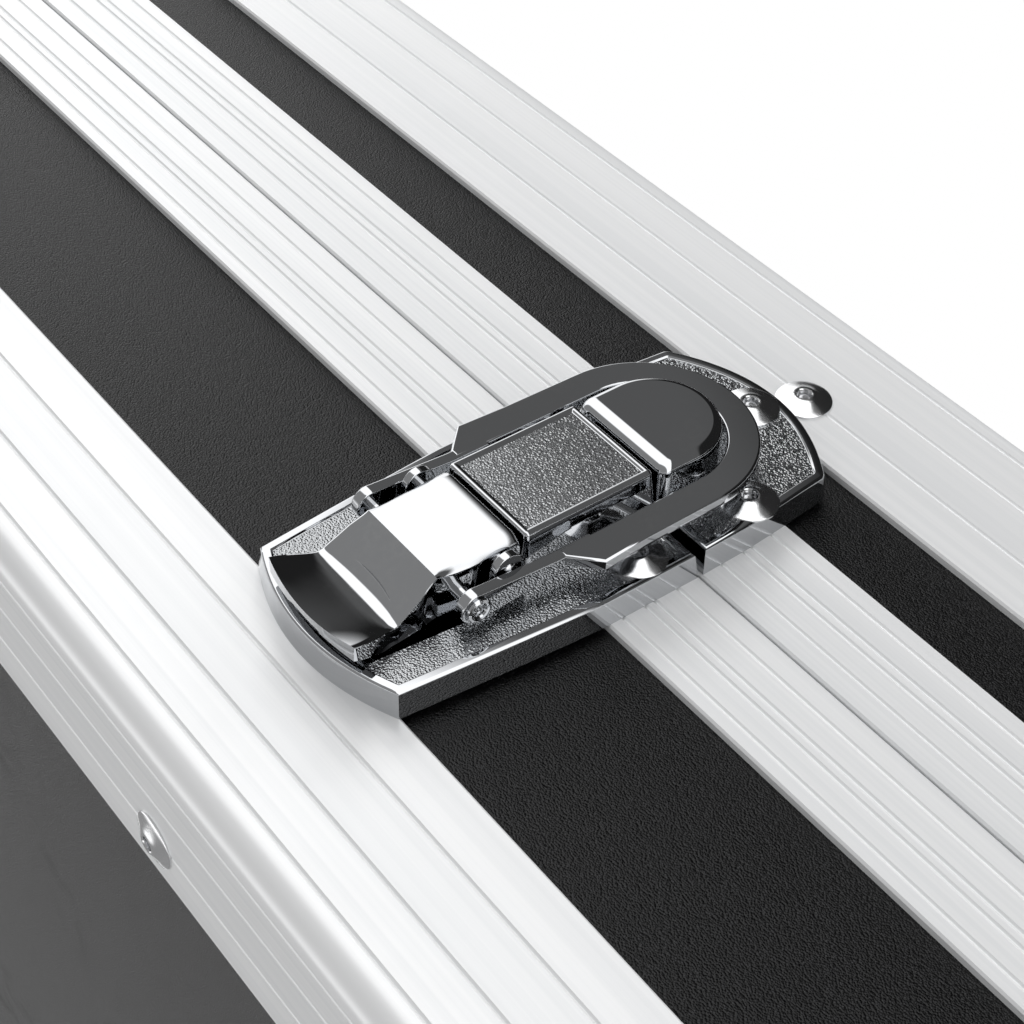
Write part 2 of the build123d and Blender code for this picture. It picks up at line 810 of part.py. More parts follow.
def neck_blocks():
    """Foam beside the neck, hollowed where the body's horns come in."""
    low = base_inside_floor()
    x_low = -inside_half(case_length)
    y_high = inside_half(case_depth)
    y_low = neck_channel / 2
    front = box_between((x_low, -y_high, low), (-neck_end, -y_low, low + neck_block_height))
    horn = Pos(-neck_end + horn_ahead, -y_high + horn_off_side, low)
    front -= horn * Cylinder(horn_radius, 4 * neck_block_height)
    tray_low = tray_x - tray_length / 2 - soft_clearance
    tray_high = tray_x + tray_length / 2 + soft_clearance
    far = box_between((x_low, y_low, low), (tray_low, y_high, low + neck_block_height))
    near = box_between((tray_high, y_low, low), (-neck_end, y_high, low + neck_block_height))
    near -= mirror(horn * Cylinder(horn_radius, 4 * neck_block_height), Plane.XZ)
    return [front, far, near]


def accessory_tray():
    """Open wooden tray beside the neck for cables and tools."""
    low = base_inside_floor()
    y_low = neck_channel / 2
    y_high = inside_half(case_depth)
    half = tray_length / 2
    outside = box_between(
        (tray_x - half, y_low, low), (tray_x + half, y_high, low + neck_block_height)
    )
    inside = box_between(
        (tray_x - half + tray_wall, y_low + tray_wall, low + tray_wall),
        (tray_x + half - tray_wall, y_high - tray_wall, low + 2 * neck_block_height),
    )
    return outside - inside


def neck_cradle():
    """Foam rest across the neck channel with a rounded notch for the neck."""
    low = base_inside_floor()
    half = neck_channel / 2 - soft_clearance
    block = box_between(
        (cradle_x - cradle_length / 2, -half, low),
        (cradle_x + cradle_length / 2, half, low + cradle_height),
    )
    notch = Pos(cradle_x, 0, low + cradle_notch_height)
    return block - notch * Rot(0, 90, 0) * Cylinder(cradle_notch_radius, 2 * cradle_length)


def bout_pads():
    """Two corner blocks, hollowed to the body's round end."""
    low = base_inside_floor()
    x_high = inside_half(case_length)
    y_high = inside_half(case_depth)
    block = box_between(
        (x_high - bout_pad_length, -y_high, low),
        (x_high, -y_high + bout_pad_length, low + neck_block_height),
    )
    hollow = Pos(x_high - bout_radius, -y_high + bout_radius, low)
    block -= hollow * Cylinder(bout_radius, 4 * neck_block_height)
    return [block, mirror(block, Plane.XZ)]


def lid_ceiling_pad():
    """Padding under the whole top board."""
    x = case_length / 2 - inner_face - soft_clearance
    y = case_depth / 2 - inner_face - soft_clearance
    high = case_height - inner_face - soft_clearance
    return box_between((-x, -y, high - lid_pad), (x, y, high))


def neck_holddown():
    """Foam block in the lid that steadies the neck over its cradle."""
    high = case_height - inner_face - lid_pad - 2 * soft_clearance
    half = neck_channel / 2
    block = box_between(
        (cradle_x - holddown_length / 2, -half, high - holddown_height),
        (cradle_x + holddown_length / 2, half, high),
    )
    lower = block.faces().sort_by(Axis.Z)[0].edges()
    return chamfer(lower, holddown_height / 4)


def make_base():
    """Export everything that the base carries."""
    export_node("base_bottom_panel", [floor_panel()])
    walls = wall_panels(inner_face, seam_base - base_web)
    for name, wall in zip(("front", "back", "right", "left"), (walls[0], walls[1], walls[3], walls[2])):
        export_node(f"base_{name}_panel", [wall])
    export_node("base_edge_angles", frame_runs(angle_section()))
    export_node("base_corner_posts", corner_posts(angle_leg, base_height - base_seam_flange))
    export_node("base_closing_profiles", base_closing_profiles())
    export_node("base_ball_corners", at_corners(ball_corners()))
    export_node("rubber_feet", rubber_feet())
    export_node("foot_screws", foot_screws())
    rivets = edge_rivets(False)
    rivets += [back_place(x, z) * Pos(0, 0, hinge_leaf_thickness) * plain_rivet()
               for x, z in hinge_rivet_places(-1)]
    rivets += [front_place(x, z) * Pos(0, 0, handle_plate_thickness) * plain_rivet()
               for x, z in handle_rivet_places()]
    export_node("base_rivets", rivets)


def make_base_inside():
    """Export the padding and the tray in the base."""
    top = base_height - pad_below_seam
    low = base_inside_floor()
    export_node("base_floor_pad", [base_floor_pad()])
    export_node("base_wall_pads", pad_ring(low, top))
    export_node("neck_side_blocks", neck_blocks())
    export_node("accessory_tray", [accessory_tray()])
    export_node("neck_cradle", [neck_cradle()])
    export_node("body_end_blocks", bout_pads())


def make_lid():
    """Export everything that the lid carries."""
    ceiling = Pos(0, 0, case_height) * mirror(floor_panel(), Plane.XY)
    export_node("lid_top_panel", [ceiling])
    walls = wall_panels(seam_lid + lid_web, case_height - inner_face)
    for name, wall in zip(("front", "back", "right", "left"), (walls[0], walls[1], walls[3], walls[2])):
        export_node(f"lid_{name}_panel", [wall])
    export_node("lid_edge_angles", frame_runs(lid_side_up(angle_section())))
    posts = corner_posts(base_height + lid_seam_flange, case_height - angle_leg)
    export_node("lid_corner_posts", posts)
    export_node("lid_closing_profiles", lid_closing_profiles())
    upper = Pos(0, 0, case_height) * mirror(ball_corners(), Plane.XY)
    export_node("lid_ball_corners", at_corners(upper))
    rivets = edge_rivets(True)
    rivets += [back_place(x, z) * Pos(0, 0, hinge_leaf_thickness) * plain_rivet()
               for x, z in hinge_rivet_places(1)]
    export_node("lid_rivets", rivets)
    export_node("lid_ceiling_pad", [lid_ceiling_pad()])
    low = base_height + pad_below_seam
    high = case_height - inner_face - lid_pad - 2 * soft_clearance
    export_node("lid_wall_pads", pad_ring(low, high))
    export_node("neck_holddown_pad", [neck_holddown()])


def make_latches():
    """Export the four draw latches with the rivets that hold them."""
    places = [front_place(x, base_height) for x in latch_positions]
    export_node("latch_bases", [place * latch_base() for place in places])
    export_node("latch_fulcrum_pins", [place * fulcrum_pin() for place in places])
    for number, place in enumerate(places, start=1):
        export_node(f"latch_lever_{number}", [place * latch_lever()])
        export_node(f"latch_link_pin_{number}", [place * link_pin()])
        export_node(f"latch_hoop_{number}", [place * latch_hoop()])
    export_node("latch_keepers", [place * latch_keeper() for place in places])
    seated = Pos(0, 0, latch_height) * rivet(latch_height)
    base_places = [(u, -base_rivet_from_seam) for u in (-base_rivet_x, base_rivet_x)]
    export_node("latch_base_rivets",
                [place * Pos(u, v) * seated for place in places for u, v in base_places])
    export_node("latch_keeper_rivets",
                [place * Pos(u, v) * seated for place in places for u, v in keeper_rivet_places()])


def make_handle():
    """Export the carrying handle."""
    export_node("handle_brackets", handle_brackets())
    export_node("handle_rod", [handle_bail()])
    export_node("handle_grip", [handle_grip()])


def make_hinges():
    """Export the stop hinges."""
    export_node("hinge_base_leaves", at_hinges(hinge_leaf(False)))
    export_node("hinge_lid_leaves", at_hinges(hinge_leaf(True)))
    pin = Rot(0, 90, 0) * Cylinder(hinge_pin_radius, hinge_width)
    export_node("hinge_pins", at_hinges(pin))


os.makedirs("parts", exist_ok=True)
make_base()
make_base_inside()
make_lid()
make_latches()
make_handle()
make_hinges()
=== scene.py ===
"""Dressed model of a bass guitar flight case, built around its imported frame.

Latch shapes are drawn in millimetres on the front wall: u runs along the case from
the latch's middle, v up from the seam and w straight out of the wall.
"""

import logging
import math
from dataclasses import dataclass
from enum import Enum
from typing import Callable, Iterable, Sequence

import bmesh
import bpy
from bpy.types import ID, Material, Mesh, Node, NodeSocket, NodeTree, Object
from mathutils import Matrix, Vector


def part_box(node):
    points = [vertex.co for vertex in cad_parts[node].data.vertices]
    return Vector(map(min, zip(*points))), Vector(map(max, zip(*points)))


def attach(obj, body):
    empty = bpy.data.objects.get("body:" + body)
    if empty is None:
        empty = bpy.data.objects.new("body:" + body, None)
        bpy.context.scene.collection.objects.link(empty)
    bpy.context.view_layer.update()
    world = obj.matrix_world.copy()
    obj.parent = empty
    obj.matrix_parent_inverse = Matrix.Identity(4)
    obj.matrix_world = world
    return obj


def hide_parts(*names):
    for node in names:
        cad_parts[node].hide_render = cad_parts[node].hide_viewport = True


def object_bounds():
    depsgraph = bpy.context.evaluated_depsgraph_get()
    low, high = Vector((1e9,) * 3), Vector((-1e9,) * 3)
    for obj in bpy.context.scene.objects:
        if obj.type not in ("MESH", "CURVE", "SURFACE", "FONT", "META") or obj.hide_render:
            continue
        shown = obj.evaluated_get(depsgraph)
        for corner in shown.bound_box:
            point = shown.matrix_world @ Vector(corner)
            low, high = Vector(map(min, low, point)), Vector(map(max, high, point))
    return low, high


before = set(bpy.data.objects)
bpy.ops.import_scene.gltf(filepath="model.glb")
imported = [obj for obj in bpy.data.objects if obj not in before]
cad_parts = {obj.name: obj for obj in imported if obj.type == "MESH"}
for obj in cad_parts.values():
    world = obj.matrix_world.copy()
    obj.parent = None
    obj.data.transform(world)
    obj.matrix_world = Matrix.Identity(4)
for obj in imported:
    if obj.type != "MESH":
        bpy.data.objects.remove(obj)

CAD_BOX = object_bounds()
LOG = logging.getLogger("flight_case")
MM = 0.001
WELD = 2e-6
SMOOTH_UP_TO = 32.0
RIM_ANGLES = (0, 22, 45, 68, 90)
SEED = 7

Pair = tuple[float, float]
Loop = list[Pair]
Point = tuple[float, float, float]
Looks = dict[str, Material]
Placing = Callable[[Vector], Vector]
Effect = Callable[["Nodes", NodeSocket, NodeSocket], tuple[NodeSocket, NodeSocket]]


class Across(Enum):
    """Direction in which an outline is stacked up, in the latch's own directions."""

    U = "along the case"
    W = "out of the wall"

    def place(self, p: float, q: float, h: float) -> Point:
        """Put an outline's point (p, q) at height h into (u, v, w)."""
        return (h, p, q) if self is Across.U else (p, q, h)


# Outlines


def arc(centre: Pair, radius: float, start: float, end: float, steps: int) -> Loop:
    """Sample an arc.

    Args:
        centre: Middle of the circle.
        radius: Its radius.
        start: Angle of the first point in degrees.
        end: Angle of the last point in degrees.
        steps: Number of equal steps between them.

    Returns:
        The points, both ends among them.
    """
    points = []
    for i in range(steps + 1):
        angle = math.radians(start + (end - start) * i / steps)
        x = centre[0] + radius * math.cos(angle)
        y = centre[1] + radius * math.sin(angle)
        points.append((x, y))
    return points


def arc_through(start: Pair, rise: float, end: Pair, steps: int) -> Loop:
    """Sample a shallow arc between two points that bulges to the right of its way.

    Args:
        start: First point.
        rise: Height of the arc over its chord.
        end: Last point.
        steps: Number of steps.

    Returns:
        The points, both ends among them.
    """
    a, b = Vector(start), Vector(end)
    side = Vector((b.y - a.y, a.x - b.x)).normalized()
    points = []
    for i in range(steps + 1):
        t = i / steps
        p = a.lerp(b, t) + side * rise * (1 - (2 * t - 1) ** 2)
        points.append((p.x, p.y))
    return points


def rounded(corners: Sequence[Point], steps: int = 4) -> Loop:
    """Closed outline with rounded corners.

    Args:
        corners: Each corner as x, y and its radius.
        steps: Steps in each rounding.

    Returns:
        The outline's points in the order of the corners.
    """
    loop: Loop = []
    count = len(corners)
    for i, (x, y, radius) in enumerate(corners):
        here = Vector((x, y))
        before = (Vector(corners[i - 1][:2]) - here).normalized()
        after = (Vector(corners[(i + 1) % count][:2]) - here).normalized()
        half = before.angle(after) / 2
        reach = radius / math.tan(half)
        centre = here + (before + after).normalized() * (radius / math.sin(half))
        first = here + before * reach - centre
        last = here + after * reach - centre
        turn = first.angle_signed(last)
        for k in range(steps + 1):
            angle = -turn * k / steps
            cos, sin = math.cos(angle), math.sin(angle)
            loop.append((
                centre.x + first.x * cos - first.y * sin,
                centre.y + first.x * sin + first.y * cos,
            ))
    return loop


def inset(loop: Loop, distance: float) -> Loop:
    """Move a closed counter-clockwise outline inwards.

    Args:
        loop: The outline.
        distance: How far each side moves.

    Returns:
        The moved outline, with as many points.
    """
    moved = []
    count = len(loop)
    for i, (x, y) in enumerate(loop):
        here = Vector((x, y))
        into = (here - Vector(loop[i - 1])).normalized()
        out = (Vector(loop[(i + 1) % count]) - here).normalized()
        one, two = Vector((-into.y, into.x)), Vector((-out.y, out.x))
        shift = (one + two) / max(0.35, 1 + one.dot(two))
        moved.append((x + shift.x * distance, y + shift.y * distance))
    return moved


def eased(radius: float, angles: Iterable[float] = RIM_ANGLES) -> list[Pair]:
    """Way in from the side and way down from the top, at angles round a rounded rim."""
    turns = [math.radians(angle) for angle in angles]
    return [(radius * (1 - math.cos(turn)), radius * (1 - math.sin(turn))) for turn in turns]


class Shell:
    """Faces of one piece while it is built, in the latch's millimetres."""

    def __init__(self) -> None:
        """Start with no points and no faces."""
        self.points: list[Vector] = []
        self.faces: list[tuple[int, ...]] = []
        self.finishes: list[int] = []

    def _face(self, corners: Iterable[int], finish: int) -> None:
        """Keep one face and its finish."""
        self.faces.append(tuple(corners))
        self.finishes.append(finish)

    def rings(self, rings: Sequence[Sequence[Point]], finishes: Sequence[int] | int = 0,
              caps: tuple[int | None, int | None] = (0, 0)) -> None:
        """Bridge closed rings of equal length one after another.

        Args:
            rings: The rings, each a list of points.
            finishes: The finish of each band between two rings, or one for all.
            caps: The finish of the first and the last cap, or None for no cap.
        """
        start, size = len(self.points), len(rings[0])
        for ring in rings:
            self.points.extend(Vector(p) for p in ring)
        for k in range(len(rings) - 1):
            low = start + k * size
            finish = finishes if isinstance(finishes, int) else finishes[k]
            for i in range(size):
                j = (i + 1) % size
                self._face((low + i, low + j, low + size + j, low + size + i), finish)
        if caps[0] is not None:
            self._face(range(start + size - 1, start - 1, -1), caps[0])
        if caps[1] is not None:
            last = start + (len(rings) - 1) * size
            self._face(range(last, last + size), caps[1])

    def levels(self, steps: Sequence[tuple[Loop, float, int]], across: Across = Across.W,
               cap: int = 0) -> None:
        """Stack outlines at heights; each level's finish is that of the band above it."""
        rings = [[across.place(p, q, height) for p, q in loop] for loop, height, _ in steps]
        self.rings(rings, [finish for *_, finish in steps], caps=(0, cap))

    def slab(self, loop: Loop, low: float, high: float, top: float, bottom: float,
             across: Across = Across.W) -> None:
        """Closed plate between two heights with rounded rims.

        Args:
            loop: Counter-clockwise outline.
            low: Height of its underside.
            high: Height of its upper side.
            top: Rounding of the upper rim.
            bottom: Rounding of the lower rim.
            across: Direction in which the plate is thick.
        """
        angles = (0, 30, 60, 90)
        stack = [(inset(loop, way), low + drop, 0) for way, drop in reversed(eased(bottom, angles))]
        stack += [(inset(loop, way), high - drop, 0) for way, drop in eased(top, angles)]
        self.levels(stack, across)

    def turned(self, profile: Sequence[Pair], segments: int, centre: Point = (0, 0, 0),
               across: Across = Across.W, finish: int = 0,
               caps: tuple[int | None, int | None] = (0, 0)) -> None:
        """Turned form.

        Args:
            profile: Its (radius, height) points.
            segments: Number of sides round the axis.
            centre: Point of the axis at height zero.
            across: Direction of the axis.
            finish: Finish of its faces.
            caps: The finish of the first and the last cap, or None for no cap.
        """
        rings = []
        for radius, height in profile:
            circle = arc((0, 0), max(radius, 0.01), 0, 360 - 360 / segments, segments - 1)
            ring = [across.place(p, q, height) for p, q in circle]
            rings.append([tuple(Vector(p) + Vector(centre)) for p in ring])
        self.rings(rings, finish, caps=caps)

    def grid(self, top: Sequence[Sequence[Point]], bottom: Sequence[Sequence[Point]]) -> None:
        """Closed form between two grids of points of the same size.

        Args:
            top: Rows of the upper grid.
            bottom: Rows of the lower grid.
        """
        start, rows, columns = len(self.points), len(top), len(top[0])
        for sheet in (top, bottom):
            for row in sheet:
                self.points.extend(Vector(p) for p in row)
        lower = start + rows * columns
        for r in range(rows - 1):
            for c in range(columns - 1):
                a = r * columns + c
                b, d, e = a + 1, a + columns, a + columns + 1
                self._face((start + a, start + b, start + e, start + d), 0)
                self._face((lower + a, lower + d, lower + e, lower + b), 0)
        rim = [(r, 0) for r in range(rows)] + [(rows - 1, c) for c in range(1, columns)]
        rim += [(r, columns - 1) for r in range(rows - 2, -1, -1)]
        rim += [(0, c) for c in range(columns - 2, 0, -1)]
        for i, (r, c) in enumerate(rim):
            a = r * columns + c
            s, d = rim[(i + 1) % len(rim)]
            b = s * columns + d
            self._face((start + a, start + b, lower + b, lower + a), 0)

    def add(self, other: "Shell", place: Placing) -> None:
        """Take over another shell's faces with its points moved.

        Args:
            other: The shell to copy.
            place: Where each of its points goes.
        """
        start = len(self.points)
        self.points.extend(place(p) for p in other.points)
        self.faces.extend(tuple(start + i for i in face) for face in other.faces)
        self.finishes.extend(other.finishes)

    def mesh(self, name: str, smooth: float = SMOOTH_UP_TO) -> Mesh:
        """Make the mesh, with its normals outwards and sharp edges over an angle.

        Args:
            name: Name of the mesh.
            smooth: Angle in degrees up to which an edge is shaded smooth.

        Returns:
            The new mesh.
        """
        mesh = bpy.data.meshes.new(name)
        mesh.from_pydata([tuple(p) for p in self.points], [], self.faces)
        for face, finish in zip(mesh.polygons, self.finishes):
            face.material_index = finish
        settle(mesh, smooth)
        return weigh_normals(mesh)


def settle(mesh: Mesh, smooth: float, merge: float = 0.0) -> None:
    """Turn a closed mesh's normals outwards and mark its sharp edges.

    Args:
        mesh: The mesh to settle.
        smooth: Angle in degrees up to which an edge is shaded smooth.
        merge: Distance under which points are merged first, or 0.
    """
    work = bmesh.new()
    work.from_mesh(mesh)
    if merge:
        bmesh.ops.remove_doubles(work, verts=work.verts, dist=merge)
        bmesh.ops.dissolve_degenerate(work, dist=merge, edges=work.edges)
    bmesh.ops.recalc_face_normals(work, faces=work.faces)
    limit = math.radians(smooth)
    for face in work.faces:
        face.smooth = True
    for edge in work.edges:
        edge.smooth = len(edge.link_faces) == 2 and edge.calc_face_angle(0.0) < limit
    work.to_mesh(mesh)
    work.free()


def on_wall(x: float, seam: float, wall: float) -> Placing:
    """Way from a latch's millimetres to its place on the front wall in metres."""
    return lambda p: Vector((x + p.x * MM, wall - p.z * MM, seam + p.y * MM))


def linked(name: str, data: ID) -> Object:
    """Make an object that is in the scene.

    Args:
        name: Its name.
        data: Its mesh, lamp or camera.

    Returns:
        The new object.
    """
    piece = bpy.data.objects.new(name, data)
    bpy.context.scene.collection.objects.link(piece)
    return piece


def applied(piece: Object, name: str) -> Mesh:
    """Turn an object with modifiers into a plain mesh and remove the object.

    Args:
        piece: The object.
        name: Name of the mesh.

    Returns:
        The mesh as the modifiers leave it.
    """
    graph = bpy.context.evaluated_depsgraph_get()
    mesh = bpy.data.meshes.new_from_object(piece.evaluated_get(graph), depsgraph=graph)
    mesh.name = name
    piece.modifiers.clear()
    bpy.data.objects.remove(piece)
    return mesh


def weigh_normals(mesh: Mesh) -> Mesh:
    """Keep large faces flat in shading by weighting the normals with face area.

    Args:
        mesh: A settled mesh.

    Returns:
        A new mesh with the weighted normals.
    """
    holder = linked(mesh.name, mesh)
    weighted = holder.modifiers.new("weighted", "WEIGHTED_NORMAL")
    weighted.mode = "FACE_AREA"
    weighted.weight = 50
    weighted.keep_sharp = True
    return applied(holder, mesh.name)


def show(name: str, mesh: Mesh, finishes: Sequence[Material], slot: str,
         body: str, *replaced: str) -> Object:
    """Put a finished mesh into the scene on its body.

    Args:
        name: Name of the piece.
        mesh: Its mesh, already in place.
        finishes: Its materials in the order of their index.
        slot: The record's material slot; not used.
        body: The body that it rides on.
        *replaced: CAD nodes that it stands for.

    Returns:
        The new object.
    """
    piece = linked(name, mesh)
    for finish in finishes:
        mesh.materials.append(finish)
    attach(piece, body)
    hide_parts(*replaced)
    LOG.info("%s: %d faces on %s", name, len(mesh.polygons), body)
    return piece


# Finishes


class Nodes:
    """A node tree with short calls for adding and joining its nodes."""

    def __init__(self, tree: NodeTree) -> None:
        """Wrap a tree and clear it."""
        self.tree = tree
        self.tree.nodes.clear()

    def add(self, kind: str, **settings: object) -> Node:
        """Add a node.

        Args:
            kind: The node's type.
            **settings: Values of its properties, or values and sources of its sockets by
                their label.

        Returns:
            The new node.
        """
        node = self.tree.nodes.new(kind)
        for key, value in settings.items():
            if hasattr(node, key):
                setattr(node, key, value)
            else:
                label = key.replace("_", " ")
                socket = next(s for s in node.inputs if s.name.lower() == label.lower() and s.enabled)
                if isinstance(value, NodeSocket):
                    self.tree.links.new(value, socket)
                else:
                    socket.default_value = value
        return node

    def link(self, source: NodeSocket, target: NodeSocket) -> None:
        """Join two sockets."""
        self.tree.links.new(source, target)

    def number(self, operation: str, *values: object) -> NodeSocket:
        """Work out a number with a Math node.

        Args:
            operation: What the node does.
            *values: The numbers or sockets that it works on.

        Returns:
            The result.
        """
        node = self.tree.nodes.new("ShaderNodeMath")
        node.operation = operation
        for socket, value in zip(node.inputs, values):
            if isinstance(value, NodeSocket):
                self.tree.links.new(value, socket)
            else:
                socket.default_value = value
        return node.outputs[0]

    def times(self, first: object, second: object) -> NodeSocket:
        """Multiply two numbers or sockets."""
        return self.number("MULTIPLY", first, second)

    def span(self, value: NodeSocket, low: float, high: float, to_low: float = 0.0,
             to_high: float = 1.0) -> NodeSocket:
        """Map a range of a value smoothly onto another range.

        Args:
            value: The value.
            low: Where the range starts.
            high: Where it ends.
            to_low: Result at its start and before.
            to_high: Result at its end and beyond.

        Returns:
            The mapped value.
        """
        node = self.tree.nodes.new("ShaderNodeMapRange")
        node.interpolation_type = "SMOOTHSTEP"
        self.tree.links.new(value, node.inputs["Value"])
        labels = ("From Min", "From Max", "To Min", "To Max")
        for label, number in zip(labels, (low, high, to_low, to_high)):
            node.inputs[label].default_value = number
        return node.outputs["Result"]

    def colours(self, factor: NodeSocket, first: Point, second: Point) -> NodeSocket:
        """Mix two colours.

        Args:
            factor: Share of the second colour.
            first: The first colour.
            second: The second colour.

        Returns:
            The mixed colour.
        """
        node = self.tree.nodes.new("ShaderNodeMix")
        node.data_type = "RGBA"
        self.tree.links.new(factor, node.inputs[0])
        node.inputs[6].default_value = (*first, 1)
        node.inputs[7].default_value = (*second, 1)
        return node.outputs[2]


def shader_group(name: str, build: Effect) -> NodeTree:
    """Make a shader node group with the inputs Vector and Scale and the outputs Height and Tone.

    Args:
        name: Name of the group.
        build: Function that fills the tree between its two ends.

    Returns:
        The group's node tree.
    """
    tree = bpy.data.node_groups.new(name, "ShaderNodeTree")
    number = "NodeSocketFloat"
    for label, way, kind in (("Vector", "INPUT", "NodeSocketVector"), ("Scale", "INPUT", number),
                             ("Height", "OUTPUT", number), ("Tone", "OUTPUT", number)):
        tree.interface.new_socket(label, in_out=way, socket_type=kind)
    nodes = Nodes(tree)
    given = nodes.add("NodeGroupInput").outputs
    height, tone = build(nodes, given["Vector"], given["Scale"])
    nodes.add("NodeGroupOutput", Height=height, Tone=tone)
    return tree


def pebble(nodes: Nodes, vector: NodeSocket, scale: NodeSocket) -> tuple[NodeSocket, NodeSocket]:
    """Small grains of uneven size, as on laminate and cast texture, each grain's top lighter as a painted
    glint whose strength differs at random from grain to grain.

    Args:
        nodes: The group's tree.
        vector: Place on the surface.
        scale: Grains in a metre.

    Returns:
        Height and tone, the tone being the painted glints.
    """
    noise = nodes.add("ShaderNodeTexNoise", Scale=nodes.times(scale, 0.5), Vector=vector, Detail=2.0)
    cells = nodes.add("ShaderNodeTexVoronoi", Scale=scale, Vector=vector)
    tint = nodes.add("ShaderNodeSeparateXYZ", Vector=cells.outputs["Color"])
    dome = nodes.number("SUBTRACT", 0.9, cells.outputs["Distance"])
    height = nodes.times(dome, nodes.span(tint.outputs["Y"], 0.0, 1.0, 0.35, 1.0))
    height = nodes.number("ADD", height, nodes.times(noise.outputs[0], 0.2))
    # Tone: painted glint, lighter towards each grain's top, times a random amount per grain.
    return height, nodes.times(nodes.span(dome, 0.35, 0.75), nodes.span(tint.outputs["X"], 0.45, 0.95))


def streaks(nodes: Nodes, vector: NodeSocket, scale: NodeSocket) -> tuple[NodeSocket, NodeSocket]:
    """Long drawn lines of the extrusion die.

    Args:
        nodes: The group's tree.
        vector: Place on the metal, its X along the length.
        scale: Fineness of the lines.

    Returns:
        Height and tone.
    """
    lines = []
    for across, along, share in ((1.0, 3.0, 0.45), (0.16, 1.2, 0.55)):
        size = nodes.add("ShaderNodeCombineXYZ", X=along, Y=nodes.times(scale, across), Z=1.0)
        placed = nodes.add("ShaderNodeVectorMath", operation="MULTIPLY")
        nodes.link(vector, placed.inputs[0])
        nodes.link(size.outputs[0], placed.inputs[1])
        noise = nodes.add("ShaderNodeTexNoise", Vector=placed.outputs[0], Scale=1.0, Detail=3.0)
        lines.append(nodes.times(noise.outputs[0], share))
    height = nodes.number("ADD", *lines)
    return height, nodes.span(height, 0.32, 0.66)


def timber(nodes: Nodes, vector: NodeSocket, scale: NodeSocket) -> tuple[NodeSocket, NodeSocket]:
    """Grain of the tray's boards, drawn out along the case.

    Args:
        nodes: The group's tree.
        vector: Place in the wood.
        scale: Fineness of the grain.

    Returns:
        Height and tone.
    """
    drawn = nodes.add("ShaderNodeMapping", Scale=(1.5, 30.0, 30.0))
    nodes.link(vector, drawn.inputs[0])
    rings = nodes.add("ShaderNodeTexNoise", Vector=drawn.outputs[0], Scale=scale, Detail=5.0).outputs[0]
    return rings, nodes.span(rings, 0.35, 0.65)


def wear(nodes: Nodes, vector: NodeSocket, scale: NodeSocket) -> tuple[NodeSocket, NodeSocket]:
    """Slow clouds with a few fine scuffs, for handled surfaces.

    Args:
        nodes: The group's tree.
        vector: Place on the surface.
        scale: Size of the clouds, more for smaller ones.

    Returns:
        Height and tone, which are the same.
    """
    cloud = nodes.add("ShaderNodeTexNoise", Vector=vector, Scale=scale, Detail=4.0).outputs[0]
    finer = nodes.times(scale, 14.0)
    fine = nodes.add("ShaderNodeTexNoise", Vector=vector, Scale=finer, Detail=2.0).outputs[0]
    mask = nodes.times(nodes.span(cloud, 0.45, 0.75), nodes.span(fine, 0.4, 0.7))
    return mask, mask


class Pattern(Enum):
    """The shared effects that finishes are made of, each with the function that builds it."""

    WORN = (wear,)
    PEBBLED = (pebble,)
    EXTRUDED = (streaks,)
    TIMBER = (timber,)


@dataclass(frozen=True)
class Finish:
    """One finish of the case, from which its material is made."""

    name: str
    pattern: Pattern
    light: Point
    dark: Point
    roughness: Pair
    metallic: float = 0.0
    wear_scale: float = 40.0
    grain: float = 1500.0
    bump: float = 0.1
    specular: float = 0.5
    sheen: float = 0.0

    def make(self, effects: dict[Pattern, NodeTree]) -> Material:
        """Build the material.

        Args:
            effects: The shader group of each pattern.

        Returns:
            The new material.
        """
        material = bpy.data.materials.new(self.name)
        material.use_nodes = True
        nodes = Nodes(material.node_tree)
        place = nodes.add("ShaderNodeTexCoord").outputs
        worn = nodes.add("ShaderNodeGroup", node_tree=effects[Pattern.WORN])
        nodes.link(place["Object"], worn.inputs["Vector"])
        worn.inputs["Scale"].default_value = self.wear_scale
        drawn = worn
        if self.pattern is not Pattern.WORN:
            drawn = nodes.add("ShaderNodeGroup", node_tree=effects[self.pattern])
            source = place["UV" if self.pattern is Pattern.EXTRUDED else "Object"]
            nodes.link(source, drawn.inputs["Vector"])
            drawn.inputs["Scale"].default_value = self.grain
        # For pebbled finishes the tone is the painted glint on the grain tops, so the light colour shows as
        # glints.
        height, tone = drawn.outputs["Height"], drawn.outputs["Tone"]
        bump = nodes.add("ShaderNodeBump", Strength=1.0, Distance=self.bump * MM, Height=height)
        shader = nodes.add(
            "ShaderNodeBsdfPrincipled", Metallic=self.metallic, Specular_IOR_Level=self.specular,
            Base_Color=nodes.colours(tone, self.dark, self.light), Normal=bump.outputs[0],
            Roughness=nodes.span(worn.outputs["Tone"], 0.0, 1.0, *self.roughness),
            Sheen_Weight=self.sheen, Sheen_Roughness=0.4,
        )
        nodes.add("ShaderNodeOutputMaterial", Surface=shader.outputs[0])
        return material


